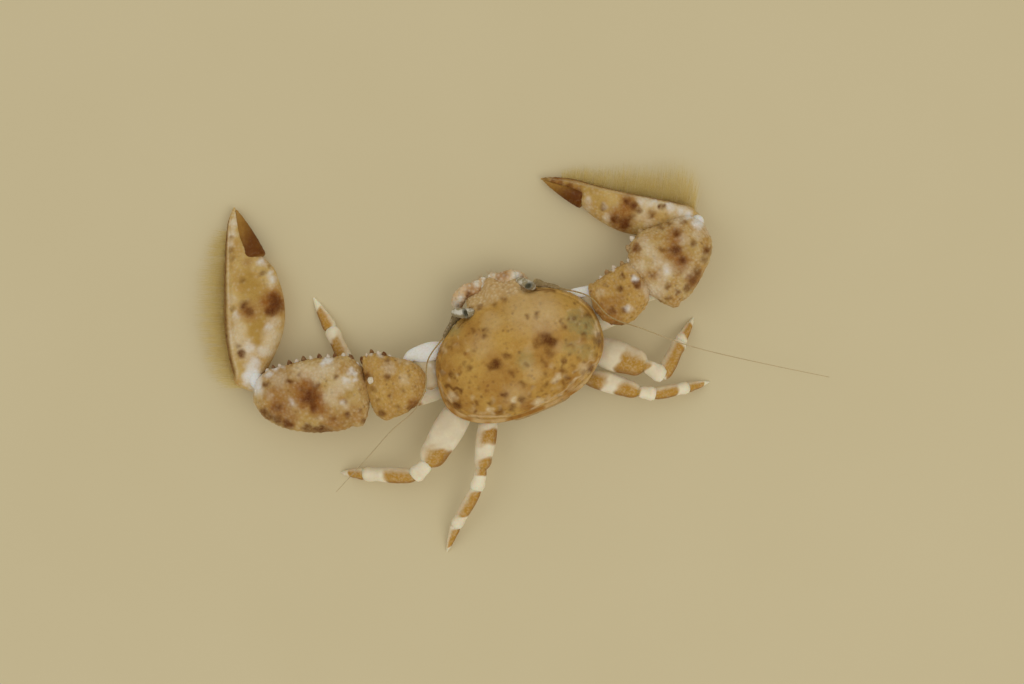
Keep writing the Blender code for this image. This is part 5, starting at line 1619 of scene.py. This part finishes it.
# Breast plate as (y, half width), and its rings from the top down as (height, share of the outline)
STERNUM_ROWS = ((-2.0, 0.9), (-1.6, 1.7), (-0.9, 2.4), (0.0, 2.7), (0.9, 2.5), (1.7, 1.9), (2.2, 1.2))
STERNUM_RINGS = (
    (STERNUM_TOP, 0.9), (STERNUM_TOP - 0.1, 0.98), (STERNUM_BASE + 0.15, 1.0),
    (STERNUM_BASE + 0.04, 0.95),
    (STERNUM_BASE, 0.85), (STERNUM_BASE, 0.6), (STERNUM_BASE, 0.3),
)
# Routes of the small fifth leg on the left side, and of the folded tail with its half widths
FIFTH_LEG = ((1.95, 2.3, 0.62), (2.2, 1.6, 0.5), (2.15, 0.7, 0.48), (1.95, 0.05, 0.48))
TAIL_ROUTE = (
    (0, 2.55, 1.28), (0, 3.0, 1.1), (0, 2.95, 0.7), (0, 2.3, 0.52), (0, 1.0, 0.5), (0, 0.1, 0.5),
)
TAIL_HALF = ((0, 1.5), (0.25, 1.55), (0.6, 1.45), (1.0, 1.1))
TAIL_PLATES = 7


def build_underside(finishes):
    """The breast plate, the folded tail with its fan, and the small fifth legs."""
    t = np.linspace(0, 1, 70)
    ys, halves = (evenly(values, t) for values in zip(*STERNUM_ROWS))
    outline = np.concatenate([np.stack([halves, ys], 1), np.stack([-halves, ys], 1)[::-1]])
    outline = outline[::-1]
    rings = np.array([np.column_stack([outline * share, np.full(len(outline), height)])
                      for height, share in STERNUM_RINGS])
    steps = np.abs((rings[..., 1] * 1.15 + np.abs(rings[..., 0]) * 0.15) % 0.8 - 0.4)
    rings[..., 2] += 0.05 * (1 - smooth(0.0, 0.1, steps)) * (rings[..., 2] < STERNUM_BASE + 0.1)
    form = Form()
    add_loft(form, rings, (0, 0, STERNUM_TOP), (0, 0, STERNUM_BASE))
    form.piece("breast_plate", finishes.get("under_shell"), ["sternum"])
    build_tail(finishes)
    for side, sign in SIDES:
        form = Form()
        path = smooth_path(mirrored(FIFTH_LEG, sign), 50)
        t = np.linspace(0, 1, 50)
        add_tube(form, path, 0.2 + 0.05 * np.abs(np.sin(t * 3 * math.pi)) ** 0.5, 16)
        for apart in (-0.12, 0.12):
            root = ((1.97 + apart) * sign, 0.15, 0.48)
            tip = ((1.85 + 1.6 * apart) * sign, -0.35, 0.48)
            add_tube(form, smooth_path([root, tip], 8), np.linspace(0.12, 0.04, 8), 10)
        form.full("fifth_leg_" + side, finishes.get("leg_shell"), "leg_shell")


def build_tail(finishes):
    """The tail's seven plates bent forward under the body, and the fan at its end."""
    path = smooth_path(TAIL_ROUTE, 140)
    t = np.linspace(0, 1, 140)
    ways = np.gradient(path, axis=0)
    ways /= np.linalg.norm(ways, axis=1)[:, None]
    ups = np.cross(ways, (1.0, 0.0, 0.0))
    plate = (t * TAIL_PLATES) % 1.0
    half = along(TAIL_HALF, t) * (0.95 + 0.06 * smooth(0.0, 0.5, plate))
    thick = 0.15 + 0.04 * smooth(0.0, 0.3, plate) * (1 - smooth(0.9, 1.0, plate))
    angle = 2 * math.pi * np.arange(40) / 40
    c, s = power(np.cos(angle), 0.7), power(np.sin(angle), 0.7)
    rings = path[:, None] + np.array((1.0, 0, 0)) * (c[None] * half[:, None])[..., None]
    rings = rings + ups[:, None] * (s[None] * thick[:, None])[..., None]
    form = Form()
    lines = np.repeat((1 - smooth(0.0, 0.08, plate))[:, None], 40, 1) * 0.7
    add_loft(form, rings, path[0], path[-1], rust=lines)
    form.piece("tail_plates", finishes.get("under_shell"), ["abdomen"])
    form = Form()
    add_ball(form, (0, -0.75, 0.5), (0.6, 0.52, 0.2), 20, 40)
    for _, sign in SIDES:
        for x, y in ((0.75, -0.62), (1.05, -0.45)):
            add_ball(form, (x * sign, y, 0.5), (0.34, 0.5, 0.17), 16, 30)
    form.full("tail_fan", finishes.get("under_shell"), "under_shell")


# Floor, lights and camera
GROUND_REACH = 0.6
GROUND_GLOW = 0.09
SKY_STRENGTH = 0.56
SKY_COLOUR = (1.0, 0.98, 0.94, 1.0)
# Lights as (place and size in metres, watts, colour)
LIGHTS = {
    "key light": ((-0.08, 0.12, 0.24), 0.2, 0.145, (1.0, 0.97, 0.92)),
    "fill light": ((0.16, -0.1, 0.22), 0.2, 0.065, (0.96, 0.98, 1.0)),
}
CAMERA_LENS = 100.0
CAMERA_SENSOR = 36.0
FOCUS_HEIGHT = 2.0


def area_light(name, place, size, energy, colour):
    """A soft round light over the crab, aimed at the frame's middle."""
    lamp = bpy.data.lights.new(name, "AREA")
    lamp.shape = "DISK"
    lamp.size = size
    lamp.energy = energy
    lamp.color = colour
    made = bpy.data.objects.new(name, lamp)
    made.location = place
    made.rotation_euler = (-Vector(place)).to_track_quat("-Z", "Y").to_euler()
    bpy.context.scene.collection.objects.link(made)


def build_stage(finishes):
    """The pale ground, soft studio lights, and the camera straight above."""
    mesh = bpy.data.meshes.new("ground")
    r = GROUND_REACH
    mesh.from_pydata([(-r, -r, 0), (r, -r, 0), (r, r, 0), (-r, r, 0)], [], [(0, 1, 2, 3)])
    mesh.materials.append(finishes.get("ground"))
    ground = bpy.data.objects.new("ground", mesh)
    bpy.context.scene.collection.objects.link(ground)
    sky = bpy.data.worlds.new("soft sky")
    bpy.context.scene.world = sky
    sky.use_nodes = True
    sky.node_tree.nodes["Background"].inputs["Color"].default_value = SKY_COLOUR
    sky.node_tree.nodes["Background"].inputs["Strength"].default_value = SKY_STRENGTH
    for name, settings in LIGHTS.items():
        area_light(name, *settings)
    middle = crab_place(PHOTO_WIDTH / 2, PHOTO_HEIGHT / 2)
    camera = bpy.data.cameras.new("camera")
    camera.sensor_width = CAMERA_SENSOR
    camera.lens = CAMERA_LENS
    camera.clip_start = 0.01
    away = PHOTO_WIDTH * PIXEL * CAMERA_LENS / CAMERA_SENSOR
    made = bpy.data.objects.new("camera", camera)
    bpy.context.scene.collection.objects.link(made)
    right = Vector((-math.cos(PHOTO_TURN), math.sin(PHOTO_TURN), 0.0))
    up = Vector((-math.sin(PHOTO_TURN), -math.cos(PHOTO_TURN), 0.0))
    turn = Matrix((right, up, Vector((0, 0, 1)))).transposed()
    place = HOME + Vector((middle[0] * MM, middle[1] * MM, (away + FOCUS_HEIGHT) * MM))
    made.matrix_world = Matrix.Translation(place) @ turn.to_4x4()
    bpy.context.scene.camera = made
    bpy.context.scene.view_settings.view_transform = "Standard"


def colour_property(name, description, default):
    """A colour that a user may change."""
    return FloatVectorProperty(name=name, description=description, default=default, size=3, subtype="COLOR",
                               min=0.0, max=1.0)


class CrabSizes(PropertyGroup):
    """Fineness of the crab's pieces."""

    fineness: IntProperty(name="Shell fineness", description="Multiplies the back shell's grid", default=1,
                          min=1, max=2)
    bristles: IntProperty(name="Bristles per claw", description="Fine bristles on each hand's outer edge",
                          default=2000, min=100, max=9000)


class CrabColours(PropertyGroup):
    """Main colours of the crab and the ground."""

    back_ground: colour_property("Back shell", "Olive-tan ground of the back shell", (0.575, 0.342, 0.078))
    back_shade: colour_property("Back shell clouds", "Browner clouds of the back shell", (0.5, 0.272, 0.054))
    claw_ground: colour_property("Claw shell", "Greyish tan ground of the wrists", (0.58, 0.395, 0.14))
    claw_shade: colour_property("Claw shell clouds", "Browner clouds of the wrists", (0.49, 0.275, 0.07))
    leg_ground: colour_property("Leg shell", "Translucent white of the legs", (0.9, 0.82, 0.6))
    leg_band: colour_property("Leg bands", "Golden-brown bands of the legs", (0.5, 0.27, 0.038))
    ground: colour_property("Ground", "Pale floor under the crab", (0.63, 0.54, 0.33))


SHARED = {}


def finishes_of(context):
    """The materials shared by all pieces."""
    if "finishes" not in SHARED:
        SHARED["finishes"] = Finishes(context.scene.crab_colours)
    return SHARED["finishes"]


class CRAB_OT_back_shell(Operator):
    """Make the domed back shell"""

    bl_idname = "crab.back_shell"
    bl_label = "Back shell"

    def execute(self, context):
        build_back_shell(finishes_of(context), context.scene.crab_sizes.fineness)
        return {"FINISHED"}


class CRAB_OT_eyes(Operator):
    """Make both eyes and their stalks"""

    bl_idname = "crab.eyes"
    bl_label = "Eyes"

    def execute(self, context):
        build_eyes(finishes_of(context))
        return {"FINISHED"}


class CRAB_OT_feelers(Operator):
    """Make both pairs of feelers"""

    bl_idname = "crab.feelers"
    bl_label = "Feelers"

    def execute(self, context):
        build_feelers(finishes_of(context))
        return {"FINISHED"}


class CRAB_OT_mouth_limbs(Operator):
    """Make the outermost mouth limbs"""

    bl_idname = "crab.mouth_limbs"
    bl_label = "Mouth limbs"

    def execute(self, context):
        build_mouth_limbs(finishes_of(context))
        return {"FINISHED"}


class CRAB_OT_claws(Operator):
    """Make both claw limbs"""

    bl_idname = "crab.claws"
    bl_label = "Claws"

    def execute(self, context):
        build_claws(finishes_of(context))
        return {"FINISHED"}


class CRAB_OT_claw_bristles(Operator):
    """Make the fringe of bristles on each hand"""

    bl_idname = "crab.claw_bristles"
    bl_label = "Claw bristles"

    def execute(self, context):
        build_claw_bristles(finishes_of(context), context.scene.crab_sizes.bristles)
        return {"FINISHED"}


class CRAB_OT_legs(Operator):
    """Make the six walking legs"""

    bl_idname = "crab.legs"
    bl_label = "Walking legs"

    def execute(self, context):
        build_legs(finishes_of(context))
        return {"FINISHED"}


class CRAB_OT_underside(Operator):
    """Make the breast plate, folded tail and fifth legs"""

    bl_idname = "crab.underside"
    bl_label = "Underside"

    def execute(self, context):
        build_underside(finishes_of(context))
        return {"FINISHED"}


class CRAB_OT_stage(Operator):
    """Make the floor, the lights and the camera"""

    bl_idname = "crab.stage"
    bl_label = "Stage"

    def execute(self, context):
        build_stage(finishes_of(context))
        return {"FINISHED"}


OPERATORS = (CRAB_OT_stage, CRAB_OT_back_shell, CRAB_OT_eyes, CRAB_OT_feelers, CRAB_OT_mouth_limbs,
             CRAB_OT_claws, CRAB_OT_claw_bristles, CRAB_OT_legs, CRAB_OT_underside)


class CRAB_PT_panel(Panel):
    """Sizes, colours and pieces of the crab"""

    bl_label = "Porcelain crab"
    bl_idname = "CRAB_PT_panel"
    bl_space_type = "VIEW_3D"
    bl_region_type = "UI"
    bl_category = "Crab"

    def draw(self, context):
        for group in (context.scene.crab_sizes, context.scene.crab_colours):
            for name in group.__annotations__:
                self.layout.prop(group, name)
        for operator in OPERATORS:
            self.layout.operator(operator.bl_idname)


CLASSES = (CrabSizes, CrabColours, *OPERATORS, CRAB_PT_panel)


def register():
    """Register the classes and give the scene its settings."""
    for item in CLASSES:
        bpy.utils.register_class(item)
    bpy.types.Scene.crab_sizes = PointerProperty(type=CrabSizes)
    bpy.types.Scene.crab_colours = PointerProperty(type=CrabColours)


def unregister():
    """Take the settings and the classes away."""
    del bpy.types.Scene.crab_colours
    del bpy.types.Scene.crab_sizes
    for item in reversed(CLASSES):
        bpy.utils.unregister_class(item)


def main():
    """Register, and make every piece."""
    register()
    for operator in OPERATORS:
        group, name = operator.bl_idname.split(".")
        getattr(getattr(bpy.ops, group), name)()


if __name__ == "__main__":
    main()
